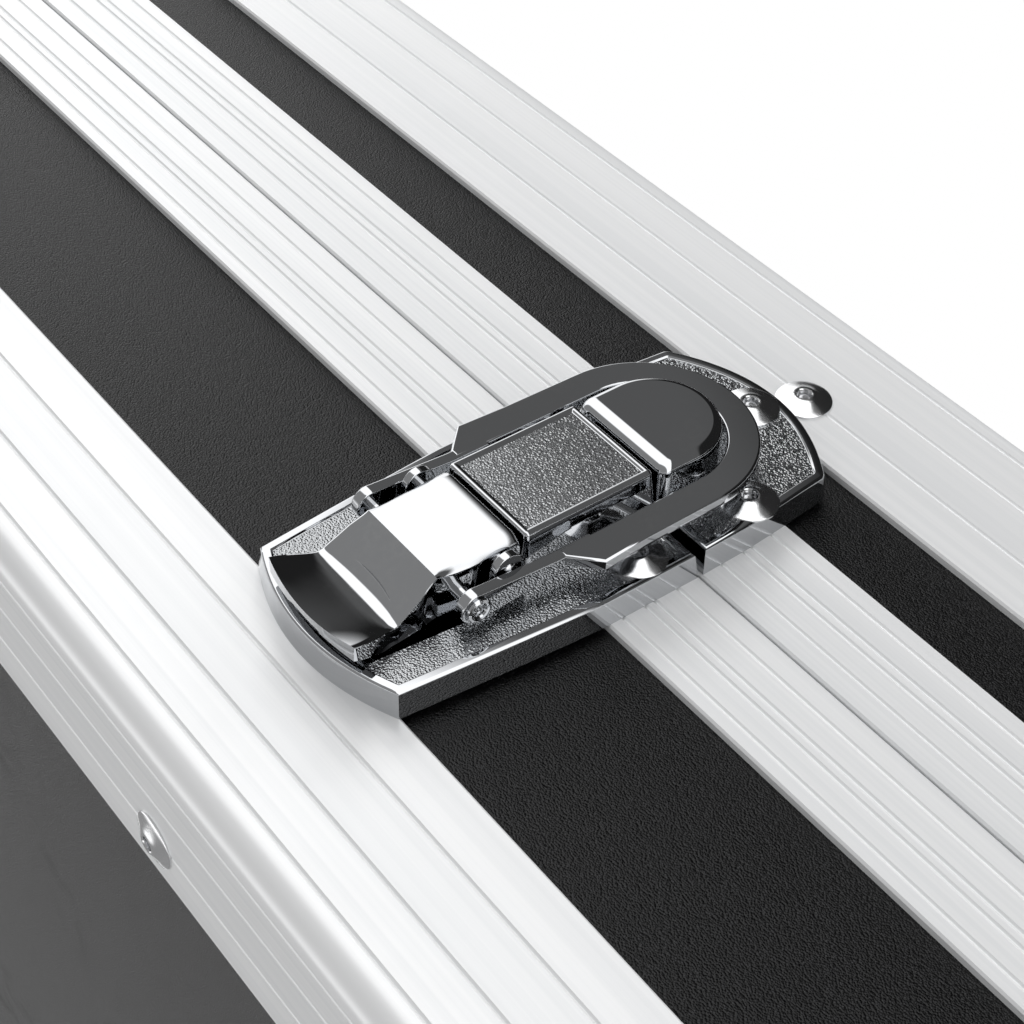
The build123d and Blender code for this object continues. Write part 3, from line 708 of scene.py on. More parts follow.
def finishes() -> Looks:
    """Make all the case's materials.

    Returns:
        The materials by the name of their finish.
    """
    worn, pebbled, metal = Pattern.WORN, Pattern.PEBBLED, (0.60, 0.61, 0.62)
    # In the pebbled finishes the light colour shows on the grain tops as painted glints.
    listed = (
        Finish("chrome", worn, metal, (0.56, 0.57, 0.585), (0.04, 0.09), 1.0, 60, bump=0.0006),
        Finish("chrome_pebbled", pebbled, metal, (0.40, 0.41, 0.42), (0.14, 0.20), 1.0, 60, 3000, 0.085),
        Finish("chrome_grained", pebbled, metal, (0.46, 0.47, 0.48), (0.16, 0.22), 1.0, 60, 3000, 0.035),
        Finish("aluminium", Pattern.EXTRUDED, (0.91, 0.915, 0.92), (0.83, 0.84, 0.85), (0.30, 0.38), 0.22, 8,
               1400, 0.02),
        Finish("laminate", pebbled, (0.026, 0.026, 0.028), (0.001, 0.001, 0.0012), (0.32, 0.42), 0.0, 10,
               3000, 0.14, specular=0.28),
        Finish("rivet", worn, (0.80, 0.80, 0.81), (0.70, 0.705, 0.715), (0.16, 0.26), 1.0, 300, bump=0.01),
        # bore: near-black for the faces inside rivet eyes and hollow pin ends, painted shade in the hollows.
        Finish("bore", worn, (0.03, 0.03, 0.03), (0.015, 0.015, 0.015), (0.4, 0.6), 0.6, 200),
        Finish("zinc", worn, (0.62, 0.63, 0.65), (0.50, 0.51, 0.53), (0.22, 0.38), 1.0, 90, bump=0.03),
        Finish("foot_rubber", pebbled, (0.030, 0.030, 0.030), (0.014, 0.014, 0.014), (0.62, 0.8), 0.0, 30,
               2600, 0.05),
        Finish("grip_rubber", pebbled, (0.034, 0.034, 0.035), (0.016, 0.016, 0.017), (0.5, 0.7), 0.0, 30,
               2200, 0.08),
        Finish("plush", pebbled, (0.050, 0.050, 0.054), (0.018, 0.018, 0.020), (0.86, 0.96), 0.0, 14, 900,
               0.5, sheen=0.5),
        Finish("tray_wood", Pattern.TIMBER, (0.11, 0.10, 0.092), (0.070, 0.064, 0.060), (0.45, 0.62), 0.0, 40,
               8, 0.04),
    )
    effects = {pattern: shader_group(pattern.name.lower(), *pattern.value) for pattern in Pattern}
    return {finish.name: finish.make(effects) for finish in listed}


# Repeated pieces


def copies_tree(name: str, finish: Material, bore: Material) -> NodeTree:
    """Geometry Nodes tree that sets a master piece at every point of a mesh.

    The points carry the attribute turn, a rotation vector, and the master's faces the
    attribute bore, which picks the faces in a bore for the dark material of painted shade.
    The named inputs are the master piece, its spin about its own axis and the seed of that spin.

    Args:
        name: Name of the tree.
        finish: Material of every copy.
        bore: Material of the faces inside a copy's bore, dark as painted shade in the hollow.

    Returns:
        The tree.
    """
    tree = bpy.data.node_groups.new(name, "GeometryNodeTree")
    geometry = "NodeSocketGeometry"
    for label, way, kind in (("Geometry", "INPUT", geometry), ("Master", "INPUT", "NodeSocketObject"),
                             ("Spin", "INPUT", "NodeSocketFloat"), ("Seed", "INPUT", "NodeSocketInt"),
                             ("Geometry", "OUTPUT", geometry)):
        tree.interface.new_socket(label, in_out=way, socket_type=kind)
    nodes = Nodes(tree)
    given = nodes.add("NodeGroupInput").outputs
    master = nodes.add("GeometryNodeObjectInfo", Object=given["Master"]).outputs["Geometry"]
    named = "GeometryNodeInputNamedAttribute"
    turn = nodes.add(named, data_type="FLOAT_VECTOR", Name="turn").outputs["Attribute"]
    chance = nodes.add("FunctionNodeRandomValue", data_type="FLOAT", Min=nodes.times(given["Spin"], -1.0),
                       Max=given["Spin"], Seed=given["Seed"])
    spin = nodes.add("ShaderNodeCombineXYZ", Z=next(s for s in chance.outputs if s.enabled)).outputs[0]
    outwards = nodes.add("FunctionNodeEulerToRotation", Euler=turn).outputs[0]
    own = nodes.add("FunctionNodeEulerToRotation", Euler=spin).outputs[0]
    both = nodes.add("FunctionNodeRotateRotation", rotation_space="LOCAL", Rotation=outwards, Rotate_By=own)
    onto = nodes.add("GeometryNodeInstanceOnPoints", Points=given["Geometry"], Instance=master,
                     Rotation=both.outputs[0])
    real = nodes.add("GeometryNodeRealizeInstances", Geometry=onto.outputs["Instances"])
    dressed = nodes.add("GeometryNodeSetMaterial", Geometry=real.outputs["Geometry"], Material=finish)
    inside = nodes.add(named, data_type="BOOLEAN", Name="bore").outputs["Attribute"]
    dark = nodes.add("GeometryNodeSetMaterial", Geometry=dressed.outputs["Geometry"], Selection=inside,
                     Material=bore)
    nodes.add("NodeGroupOutput", Geometry=dark.outputs["Geometry"])
    return tree


@dataclass(frozen=True)
class Spot:
    """Place of a repeated piece: its point and the direction that it looks in."""

    point: Point
    out: Point

    def turn(self) -> Vector:
        """Rotation that points the piece's Z outwards."""
        return Vector(Vector((0, 0, 1)).rotation_difference(Vector(self.out)).to_euler())


def repeat(name: str, master: Shell, spots: Sequence[Spot], looks: Sequence[Material], slot: str,
           body: str, node: str) -> None:
    """Set copies of a master piece with Geometry Nodes and keep them as one mesh.

    Args:
        name: Name of the piece.
        master: The piece in millimetres, its axis along w.
        spots: Where the copies stand.
        looks: Their material and that of the faces in a bore, the latter dark as painted shade.
        slot: The record's material slot.
        body: The body that they ride on.
        node: CAD node that they stand for.
    """
    whole = Shell()
    whole.add(master, lambda p: p * MM)
    form = whole.mesh(name + "_master")
    # Faces of finish 1 lie in a bore and take the dark material: painted shade.
    bore = form.attributes.new("bore", "BOOLEAN", "FACE")
    for i, finish in enumerate(whole.finishes):
        bore.data[i].value = finish == 1
    pattern = bpy.data.objects.new(name + "_master", form)
    points = bpy.data.meshes.new(name + "_points")
    points.from_pydata([spot.point for spot in spots], [], [])
    turns = points.attributes.new("turn", "FLOAT_VECTOR", "POINT")
    for i, spot in enumerate(spots):
        turns.data[i].vector = spot.turn()
    holder = linked(name + "_points", points)
    modifier = holder.modifiers.new("copies", "NODES")
    modifier.node_group = copies_tree(name + "_copies", *looks)
    for item in modifier.node_group.interface.items_tree:
        if item.in_out == "INPUT" and item.name != "Geometry":
            modifier[item.identifier] = {"Master": pattern, "Spin": math.pi, "Seed": SEED}[item.name]
    mesh = applied(holder, name)
    bpy.data.objects.remove(pattern)
    order = [looks.index(material) if material else 0 for material in mesh.materials]
    for face in mesh.polygons:
        face.material_index = order[face.material_index]
    mesh.materials.clear()
    settle(mesh, SMOOTH_UP_TO)
    show(name, mesh, looks, slot, body, node)


def centres(node: str) -> list[tuple[Vector, Vector]]:
    """Find every separate solid in a CAD node.

    Args:
        node: Name of the node.

    Returns:
        The lowest and highest corner of each solid.
    """
    work = bmesh.new()
    work.from_mesh(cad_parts[node].data)
    bmesh.ops.remove_doubles(work, verts=work.verts, dist=WELD)
    left = set(work.verts)
    boxes = []
    while left:
        reached = [left.pop()]
        group = [reached[0]]
        while reached:
            for edge in reached.pop().link_edges:
                for vert in edge.verts:
                    if vert in left:
                        left.remove(vert)
                        reached.append(vert)
                        group.append(vert)
        low = Vector([min(v.co[i] for v in group) for i in range(3)])
        high = Vector([max(v.co[i] for v in group) for i in range(3)])
        boxes.append((low, high))
    work.free()
    return sorted(boxes, key=lambda b: tuple(b[0]))


def refined(name: str, node: str, finish: Material, slot: str, body: str, edge: float = 0.0,
            smooth: float = 30.0) -> None:
    """Stand-in for a rigid CAD node with merged points, eased edges and smooth shading.

    Args:
        name: Name of the piece.
        node: The CAD node that it follows and replaces.
        finish: Its material.
        slot: The record's material slot.
        body: The body that it rides on.
        edge: Width of the eased edges in metres, or 0.
        smooth: Angle in degrees up to which an edge is shaded smooth.
    """
    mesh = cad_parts[node].data.copy()
    mesh.materials.clear()
    work = bmesh.new()
    work.from_mesh(mesh)
    bmesh.ops.remove_doubles(work, verts=work.verts, dist=WELD)
    bmesh.ops.dissolve_limit(work, angle_limit=math.radians(1.0), verts=work.verts, edges=work.edges)
    work.to_mesh(mesh)
    work.free()
    mesh.polygons.foreach_set("material_index", [0] * len(mesh.polygons))
    piece = linked(name, mesh)
    if edge:
        bevel = piece.modifiers.new("eased", "BEVEL")
        bevel.width = edge
        bevel.segments = 2
        bevel.limit_method = "ANGLE"
        bevel.angle_limit = math.radians(40)
        bevel.use_clamp_overlap = True
    mesh = applied(piece, name)
    settle(mesh, smooth)
    show(name, mesh, [finish], slot, body, node)


# The shell of the case


class Half(Enum):
    """The case's two halves, by the name of their body."""

    BASE = "base"
    LID = "lid"


@dataclass
class Edging:
    """Aluminium round one half: edge angles and closing profiles.

    Each section is drawn with its depth behind the outer face and its height, both in
    millimetres, and runs round the case as one mitred ring.
    """

    half: Half
    metal: Material
    leg: float = 31.0
    sheet: float = 1.5
    radius: float = 5.0
    edge: float = 0.35
    groove_half: float = 0.45
    groove_depth: float = 0.28
    angle_grooves: tuple[float, ...] = (5.6, 13.4, 22.3)
    seam_grooves: tuple[float, ...] = (4.2, 8.6, 10.4, 14.6)
    tongue: float = 2.4

    def grooved(self, start: float, end: float, grooves: Sequence[float]) -> Loop:
        """Outer face of a section.

        Args:
            start: Height where it starts.
            end: Lower height where it ends.
            grooves: Heights of its grooves.

        Returns:
            Its points as (height, depth).
        """
        line = [(start, 0.0)]
        for place in sorted(grooves, reverse=True):
            for shift, depth in ((1.0, 0.0), (0.45, 0.8), (0.0, 1.0), (-0.45, 0.8), (-1.0, 0.0)):
                line.append((place + shift * self.groove_half, depth * self.groove_depth))
        line.append((end, 0.0))
        return line

    def angle_section(self) -> Loop:
        """Draw the equal-leg angle.

        Returns:
            Its outline from the upright leg's top round the corner to the flat leg's end.
        """
        face = self.grooved(self.leg - self.edge, self.radius, self.angle_grooves)
        upright = [(depth, height) for height, depth in face]
        flat = [(height, depth) for height, depth in reversed(face)]
        corner = arc((self.radius, self.radius), self.radius, 180, 270, 10)
        inner = arc((self.radius, self.radius), self.radius - self.sheet, 270, 180, 6)
        loop = [(self.edge, self.leg)] + upright + corner[1:-1] + flat
        loop += [(self.leg, self.edge), (self.leg, self.sheet)] + inner + [(self.sheet, self.leg)]
        return loop

    def closing_section(self, flange: float, web: float) -> Loop:
        """Draw the channel that grips a wall's edge, its meeting face at height zero.

        Args:
            flange: Height of the outer flange.
            web: Height of the web that rests on the wall's edge.

        Returns:
            Its outline.
        """
        inner, depth, tail = 8.5, 10.0, -12.0
        face = self.grooved(-self.edge, -flange + self.edge, [-g for g in self.seam_grooves])
        loop = [(self.edge, 0.0)] + [(d, h) for h, d in face]
        loop += [(self.edge, -flange), (self.sheet, -flange), (self.sheet, -web), (inner, -web)]
        return loop + [(inner, tail), (depth, tail), (depth, 0.0)]

    def ring(self, shell: Shell, section: Loop, base: float, flip: bool) -> None:
        """Run a section round the outline with mitred corners.

        Args:
            shell: Shell that takes the faces.
            section: The section's outline.
            base: Height of the section's origin in metres.
            flip: Whether the section is turned over.
        """
        low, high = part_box(self.half.value + "_edge_angles")
        rings = []
        for depth, height in section + section[:1]:
            z = base + (-height if flip else height) * MM
            d = depth * MM
            rings.append([
                (low.x + d, low.y + d, z), (high.x - d, low.y + d, z),
                (high.x - d, high.y - d, z), (low.x + d, high.y - d, z),
            ])
        shell.rings(rings, caps=(None, None))

    def build(self) -> None:
        """Make the ring of edge angles and closing profiles as one piece."""
        name = self.half.value
        angles, profiles = name + "_edge_angles", name + "_closing_profiles"
        low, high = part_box(angles)
        seam_low, seam_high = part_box(profiles)
        lid = self.half is Half.LID
        shell = Shell()
        self.ring(shell, self.angle_section(), high.z if lid else low.z, lid)
        flange, web = (17.9, 1.8) if lid else (17.3, 4.5)
        meeting = seam_low.z + self.tongue * MM if lid else seam_high.z
        self.ring(shell, self.closing_section(flange, web), meeting, lid)
        mesh = shell.mesh(name + "_edging", 30.0)
        self.unwrap(mesh)
        settle(mesh, 30.0, 1e-7)
        show(name + "_edging", mesh, [self.metal], "aluminium_edging", name, angles, profiles)

    def unwrap(self, mesh: Mesh) -> None:
        """Write a UV map whose first coordinate runs along each length of metal.

        Args:
            mesh: The ring's mesh.
        """
        layer = mesh.uv_layers.new(name="along")
        for face in mesh.polygons:
            corners = [mesh.vertices[mesh.loops[i].vertex_index].co for i in face.loop_indices]
            spread_x = max(c.x for c in corners) - min(c.x for c in corners)
            spread_y = max(c.y for c in corners) - min(c.y for c in corners)
            for index, co in zip(face.loop_indices, corners):
                along, side = (co.x, co.y) if spread_x > spread_y else (co.y, co.x)
                layer.data[index].uv = (along, side + co.z)


@dataclass
class CaseShell:
    """Boards, edging, posts and ball corners of both halves."""

    looks: Looks

    def build(self) -> None:
        """Dress the boards and build the metal of both halves."""
        for half in Half:
            for side in ("front", "back", "left", "right"):
                self.dress(f"{half.value}_{side}_panel")
            Edging(half, self.looks["aluminium"]).build()
            name = half.value
            refined(name + "_corner_post_angles", name + "_corner_posts", self.looks["aluminium"],
                    "aluminium_edging", name, 0.0003)
            refined(name + "_ball_caps", name + "_ball_corners", self.looks["chrome"],
                    "chrome_steel", name, 0.0004)
        self.dress("base_bottom_panel")
        self.dress("lid_top_panel")

    def dress(self, node: str) -> None:
        """Give a board its pebbled laminate.

        Args:
            node: The board's CAD node, which stays visible.
        """
        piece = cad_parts[node]
        piece.data.materials.clear()
        piece.data.materials.append(self.looks["laminate"])


@dataclass
class Rivets:
    """Blind rivets: a low dome with the hollow end of its mandrel."""

    looks: Looks
    radius: float = 4.75
    height: float = 1.45
    eye: float = 1.25

    def master(self) -> Shell:
        """Build one rivet in millimetres, its head on w = 0.

        Returns:
            The rivet.
        """
        shell = Shell()
        r, h, e = self.radius, self.height, self.eye
        shell.turned((
            (r - 0.1, -0.2), (r, 0.02), (r, 0.22), (r - 0.16, 0.36), (r - 0.8, 0.58), (r - 1.7, 0.86),
            (e + 1.15, 1.16), (e + 0.75, h - 0.12), (e + 0.45, h), (e + 0.15, h - 0.03), (e, h - 0.2),
        ), 36, caps=(0, None))
        # Inside of the mandrel's eye: finish 1, the dark bore material, painted shade in the hollow.
        shell.turned((
            (e, h - 0.2), (e - 0.08, h - 1.25), (e - 0.4, h - 1.28), (e - 0.5, h - 1.05), (0.0, h - 1.0),
        ), 36, finish=1, caps=(None, 1))
        return shell

    def spots(self, node: str) -> list[Spot]:
        """Read the place of every rivet from its flat disc.

        Args:
            node: CAD node of the discs.

        Returns:
            The rivets' places.
        """
        found = []
        for low, high in centres(node):
            size, middle = high - low, (low + high) / 2
            thin = min(range(3), key=lambda i: size[i])
            case = CAD_BOX[1] + CAD_BOX[0]
            side = 1.0 if middle[thin] > case[thin] / 2 else -1.0
            out, point = [0.0, 0.0, 0.0], list(middle)
            out[thin] = side
            point[thin] = low[thin] if side > 0 else high[thin]
            found.append(Spot(tuple(point), tuple(out)))
        return found

    def build(self) -> None:
        """Make the rivets of every group."""
        for node, body in (("base_rivets", "base"), ("lid_rivets", "lid")):
            self.set_out(body + "_edge_rivets", self.spots(node), body, node)

    def set_out(self, name: str, spots: Sequence[Spot], body: str, node: str) -> None:
        """Make one group of rivets.

        Args:
            name: Name of the piece.
            spots: The rivets' places.
            body: The body that they ride on.
            node: The CAD node that they stand for.
        """
        # The bore material paints shade into the rivets' eyes.
        looks = [self.looks["rivet"], self.looks["bore"]]
        repeat(name, self.master(), spots, looks, "rivet_metal", body, node)


# Draw latches


@dataclass
class DrawLatch:
    """The four die-cast draw latches, all made from one set of shapes."""

    looks: Looks
    seam_half: float = 21.4
    shoulder: float = 18.0
    tip_half: float = 18.5
    tip: float = 52.6
    apex_rise: float = 4.5
    skirt: float = 4.6
    draft: float = 0.5
    round: float = 0.5
    rim: float = 0.9
    step: float = 0.3
    pocket_half: float = 12.2
    pocket: Pair = (24.6, 53.6)
    pocket_floor: float = 2.0
    pocket_bow: float = 9.0
    seam_gap: float = 0.5
    panel_half: float = 9.6
    panel_end: float = 24.2
    panel_top: float = 12.6
    panel_edge: float = 0.55
    block_half: float = 9.2
    waist_half: float = 8.75
    crest_half: float = 9.7
    lip_half: float = 11.1
    block_back: float = 24.9
    block_front: float = 39.2
    block_top: float = 12.9
    crest: float = 44.4
    crest_sag: float = 2.3
    slope_fall: float = 0.577
    lip: float = 56.2
    lip_sag: float = 1.4
    lip_height: float = 8.6
    lip_rise: float = 0.9
    bowl_depth: float = 1.7
    lever_under: float = 3.9
    crown_fall: float = 0.06
    fulcrum: Pair = (28.6, 10.0)
    fulcrum_ears: Pair = (10.4, 11.8)
    link: Pair = (36.0, 8.4)
    ear_radius: float = 2.7
    pin_radius: float = 1.15
    hoop_top: float = 10.0
    hoop_thickness: float = 2.0
    hoop_half: float = 17.7
    hoop_shoulder: float = 18.4
    hoop_start: float = 20.5
    hoop_inner: float = 12.5
    hoop_centre: float = 6.2
    ear_inner: float = 12.2
    ear_outer: float = 14.2
    keeper_half: float = 19.6
    keeper_corner: float = 27.5
    keeper_rise: float = 6.6
    nose_half: float = 10.2
    nose_start: float = 0.9
    nose_centre: float = 8.1
    nose_top: float = 12.5
    nose_corner: float = 1.8
    nose_edge: float = 1.5
    base_rivets: tuple[Pair, ...] = ((-16.0, -8.2), (16.0, -8.2))
    keeper_rivets: tuple[Pair, ...] = ((-16.5, 13.4), (16.5, 13.4), (0.0, 28.3))

    def half_width(self, v: float) -> float:
        """Find how wide the base is.

        Args:
            v: Height over the seam.

        Returns:
            Half of its width there.
        """
        if v > -self.shoulder:
            return self.seam_half
        share = (-self.shoulder - v) / (self.tip - self.shoulder)
        return self.seam_half - (self.seam_half - self.tip_half) * share ** 1.15

    def base_outline(self) -> Loop:
        """Draw the foot of the base.

        Returns:
            Its outline, counter-clockwise from the seam's left end.
        """
        sides = [(self.half_width(-v), -v) for v in (self.seam_gap, self.shoulder, 25, 32, 39, 46, self.tip)]
        end = arc_through((-self.tip_half, -self.tip), self.apex_rise, (self.tip_half, -self.tip), 26)
        return [(-x, y) for x, y in sides[:-1]] + end + sides[-2::-1]

    def plate(self, shell: Shell, outline: Loop, pocket: Loop | None) -> None:
        """Skirted plate: draft, polished rim and, a step lower, the pebbled field.

        Args:
            shell: Shell that takes the plate.
            outline: The plate's foot.
            pocket: Outline of the hollow below the lever with as many points, or None.
        """
        steps = [(outline, 0.0, 0)]
        for way, drop in eased(self.round):
            steps.append((inset(outline, self.draft + way), self.skirt - drop, 0))
        flat = self.draft + self.round + self.rim
        field_level = self.skirt - self.step
        for shift, level in ((0.0, self.skirt), (0.08, self.skirt - 0.08), (0.22, field_level + 0.04)):
            steps.append((inset(outline, flat + shift), level, 0))
        steps.append((inset(outline, flat + 0.35), field_level, 1))
        if pocket:
            steps += [(pocket, field_level, 0), (inset(pocket, 0.25), field_level - 0.3, 0),
                      (inset(pocket, 0.4), self.pocket_floor, 0)]
        shell.levels(steps, cap=0 if pocket else 1)

    def base_casting(self) -> Shell:
        """Build the base: skirted plate with its pocket, the bridge and the lever's ears.

        Returns:
            The casting.
        """
        shell = Shell()
        outline = self.base_outline()
        back, front = self.pocket
        hollow = []
        for x, y in outline:
            share = max(0.0, (-y - self.seam_gap) / (self.tip - self.seam_gap))
            half = self.seam_half if share < 1.0 else self.tip_half
            end = -back - (front - back) * min(share, 1.0) - max(0.0, share - 1.0) * self.pocket_bow
            hollow.append((x / half * self.pocket_half, end))
        self.plate(shell, outline, hollow)
        self.bridge(shell)
        v, w = self.fulcrum
        for side in (-1, 1):
            ear = [(-v + 3.6, 1.0)] + arc((-v, w), self.ear_radius, 0, 180, 12) + [(-v - 3.6, 1.0)]
            low, high = sorted(side * reach for reach in self.fulcrum_ears)
            shell.slab(ear, low, high, top=0.25, bottom=0.25, across=Across.U)
        return shell

    def frame_at(self, shift: float) -> Loop:
        """Draw the bridge's outline, moved inwards.

        Args:
            shift: How far it is moved.

        Returns:
            The outline with rounded corners.
        """
        half, turn = self.panel_half - shift, max(0.15, 0.7 - shift)
        low, high = -self.panel_end + shift, -0.4 - shift
        return rounded([(half, low, turn), (half, high, turn), (-half, high, turn), (-half, low, turn)])

    def bridge(self, shell: Shell) -> None:
        """Raised panel beside the seam, its pebbled field inside a bright border.

        Args:
            shell: Shell that takes the bridge.
        """
        top = self.panel_top
        steps = [(self.frame_at(-1.5), 1.0, 0)]
        steps += [(self.frame_at(way), top - drop, 0) for way, drop in eased(self.panel_edge)]
        for shift, drop in ((0.85, 0.02), (1.0, 0.1), (1.12, 0.26), (1.3, 0.34)):
            steps.append((self.frame_at(shift), top - drop, 2 if shift > 1.2 else 0))
        shell.levels(steps, cap=2)

    def lip_line(self, s: float) -> float:
        """Where the lever ends, s from -1 to 1 across it."""
        return self.lip - self.lip_sag * s * s

    def crest_line(self, s: float) -> float:
        """Where the scoop begins, s from -1 to 1 across the lever."""
        return self.crest + self.crest_sag * abs(s) ** 2.2

    def lever_height(self, s: float, v: float) -> float:
        """Find how high the lever's upper side is.

        Args:
            s: Place across it, from -1 to 1.
            v: Place along it, down from the seam.

        Returns:
            The height over the wall.
        """
        if v < self.block_front:
            return self.block_top - self.crown_fall * (v - self.block_back)
        front = self.block_top - self.crown_fall * (self.block_front - self.block_back)
        crest = self.crest_line(s)
        if v <= crest:
            return front - self.slope_fall * (v - self.block_front)
        start = front - self.slope_fall * (crest - self.block_front)
        end = self.lip_height + self.lip_rise * s * s
        t = min(1.0, (v - crest) / (self.lip_line(s) - crest))
        dish = (1 - (1 - t) ** 9) * (1 - t) / 0.7
        return start + (end - start) * t - self.bowl_depth * dish * (1 - 0.8 * s * s)

    def lever_half(self, v: float) -> float:
        """Find how wide the lever is: waisted behind the block, widest at the lip.

        Args:
            v: Place along it, down from the seam.

        Returns:
            Half of its width there.
        """
        stations = ((33.0, self.block_half), (self.block_front, self.waist_half),
                    (43.0, self.crest_half - 0.3), (46.5, self.crest_half), (54.6, self.lip_half),
                    (57.0, self.lip_half + 0.3))
        if v <= stations[0][0]:
            return self.block_half
        for (a, low), (b, high) in zip(stations, stations[1:]):
            if v <= b:
                t = (v - a) / (b - a)
                return low + (high - low) * t * t * (3 - 2 * t)
        return stations[-1][1]

    def lever_rows(self, s: float) -> Iterable[tuple[float, float, float]]:
        """Walk along the lever from its heel to its lip.

        Args:
            s: Place across it, from -1 to 1.

        Yields:
            Place along it, drop under its upper side and fullness of its shoulders.
        """
        heel, crest, lip = self.block_back + 1.0, self.crest_line(s), self.lip_line(s)
        for way, drop in eased(heel - self.block_back, (0, 22.5, 45, 67.5, 90)):
            yield self.block_back + way, drop, 1.0
        for t in (0.08, 0.22, 0.4, 0.58, 0.75, 0.87, 0.94, 0.975, 1.0):
            yield heel + (self.block_front - heel) * t, 0.0, 1.0 - t ** 4
        for t in (0.04, 0.12, 0.25, 0.4, 0.55, 0.7, 0.84, 0.95, 0.985, 1.0):
            yield self.block_front + (crest - self.block_front) * t, 0.0, 0.0
        for t in (0.006, 0.02, 0.045, 0.08, 0.13, 0.19, 0.26, 0.34, 0.43, 0.52, 0.61, 0.7, 0.78, 0.85, 0.91,
                  0.95, 0.98, 1.0):
            yield crest + (lip - crest) * t, 0.0, 0.0

    def lever(self) -> Shell:
        """Build the lever: block with rounded shoulders, sloping face, crest and thumb scoop.

        Returns:
            The lever.
        """
        top, bottom = [], []
        steps, lift_start, lip_edge = 16, 49.0, 1.5
        for i in range(-steps, steps + 1):
            s = math.sin(math.pi / 2 * i / steps)
            upper, lower = [], []
            for v, drop, full in self.lever_rows(s):
                half, w = self.lever_half(v), self.lever_height(s, v) - drop
                wide, deep = 0.5 + 1.9 * full, 0.3 + 1.5 * full
                near = (abs(s) * half - (half - wide)) / wide
                if near > 0:
                    w -= deep * (1 - math.sqrt(max(0.0, 1 - near * near)))
                upper.append((s * half, -v, w))
                lift = max(0.0, v - lift_start) / (self.lip - lift_start)
                under = self.lever_under + lift * (self.lip_height - lip_edge - self.lever_under)
                lower.append((s * (half - 0.25), -v if v < 56 else -v + 0.2, min(w - 0.6, under)))
            top.append(upper)
            bottom.append(lower)
        shell = Shell()
        shell.grid(list(zip(*top)), list(zip(*bottom)))
        return shell

    def hoop(self) -> Shell:
        """Build the stamped hoop: flat ring with two ears bent down from its inner edge.

        Returns:
            The hoop.
        """
        shell = Shell()
        start, top, centre = -self.hoop_start, self.hoop_top, self.hoop_centre
        under = top - self.hoop_thickness
        shoulder = self.hoop_shoulder - self.ear_outer
        outer = [(self.ear_outer, start), (self.hoop_shoulder, start + shoulder)]
        outer += [(self.hoop_half + 0.25, -8.0)]
        outer += arc((0, centre), self.hoop_half, 0, 90, 20)
        inner = [(self.hoop_inner, start)] + arc((0, centre), self.hoop_inner, 0, 90, 18)
        loop = outer + [(-x, y) for x, y in reversed(outer[:-1])]
        loop += [(-x, y) for x, y in inner] + list(reversed(inner[:-1]))
        shell.slab(loop, under, top, top=0.4, bottom=0.3)
        v, w = self.link
        bend = start + shoulder + 2.0
        for low in (-self.ear_outer, self.ear_inner):
            ear = [(bend, under), (bend, top - 0.4), (bend - 0.5, top), (start - 0.8, top - 0.05)]
            ear += arc((-v, w), self.ear_radius, 75, 285, 16)
            ear += [(start, under - 0.8), (bend - 1.2, under - 0.1)]
            shell.slab(ear, low, low + self.hoop_thickness, top=0.35, bottom=0.35, across=Across.U)
        return shell

    def link_pin(self) -> Shell:
        """Build the hollow pin through lever and hoop with its rolled ends.

        Returns:
            The pin, the insides of its hollow ends as finish 1, dark with painted shade.
        """
        shell = Shell()
        centre = (0, -self.link[0], self.link[1])
        end, deep, radius = self.ear_outer, 1.6, self.pin_radius
        shell.turned(((radius, -end + deep), (radius, end - deep)), 28, centre, Across.U)
        for side in (-1, 1):
            rolled = ((radius, -deep), (radius, -0.05), (1.95, 0.0), (2.1, 0.25), (1.95, 0.5), (1.6, 0.66),
                      (1.25, 0.6), (1.05, 0.35), (0.98, 0.0))
            shell.turned([(r, side * (end + h)) for r, h in rolled], 36, centre, Across.U, caps=(0, None))
            # Inside of the hollow end: finish 1, painted shade.
            shell.turned(((0.98, side * end), (0.9, side * (end - deep + 0.2))), 36, centre, Across.U,
                         finish=1, caps=(None, 1))
        return shell

    def fulcrum_pin(self) -> Shell:
        """Build the pin in the base's ears with its domed ends.

        Returns:
            The pin.
        """
        shell = Shell()
        end = self.fulcrum_ears[1] + 0.05
        half = ((0.0, end + 0.35), (0.8, end + 0.25), (self.pin_radius, end))
        profile = [(r, -h) for r, h in half] + list(reversed(half))
        shell.turned(profile, 24, (0, -self.fulcrum[0], self.fulcrum[1]), Across.U)
        return shell

    def keeper_outline(self) -> Loop:
        """Draw the foot of the keeper.

        Returns:
            Its outline, counter-clockwise from its lower right corner.
        """
        right = [(self.seam_half, self.seam_gap), (21.2, 9.0), (20.7, 16.0), (20.1, 22.0)]
        right.append((self.keeper_half + 0.1, 26.4))
        apex = arc_through((self.keeper_half - 0.6, self.keeper_corner), self.keeper_rise,
                           (-self.keeper_half + 0.6, self.keeper_corner), 24)
        return right + apex + [(-x, y) for x, y in reversed(right)]

    def keeper(self) -> Shell:
        """Build the keeper: skirted pebbled plate with the polished nose that the hoop holds.

        Returns:
            The casting.
        """
        shell = Shell()
        self.plate(shell, self.keeper_outline(), None)
        half, start, turn = self.nose_half, self.nose_start, self.nose_corner
        nose = arc((-half + turn, start + turn), turn, 180, 270, 6)
        nose += arc((half - turn, start + turn), turn, 270, 360, 6)
        nose += arc((0, self.nose_centre), half, 0, 180, 40)
        top, edge = self.nose_top, self.nose_edge
        steps = [(nose, 1.0, 0), (nose, top - edge, 0)]
        fade_end, fade, share = start + 4.0, 2.2, 1.3 / edge
        for way, drop in eased(edge, [90 * i / 7 for i in range(1, 8)]):
            moved = inset(nose, way)
            moved = [(x, y + share * way * max(0.0, min(1.0, (fade_end - y) / fade))) for x, y in moved]
            steps.append((moved, top - drop, 0))
        shell.levels(steps)
        return shell

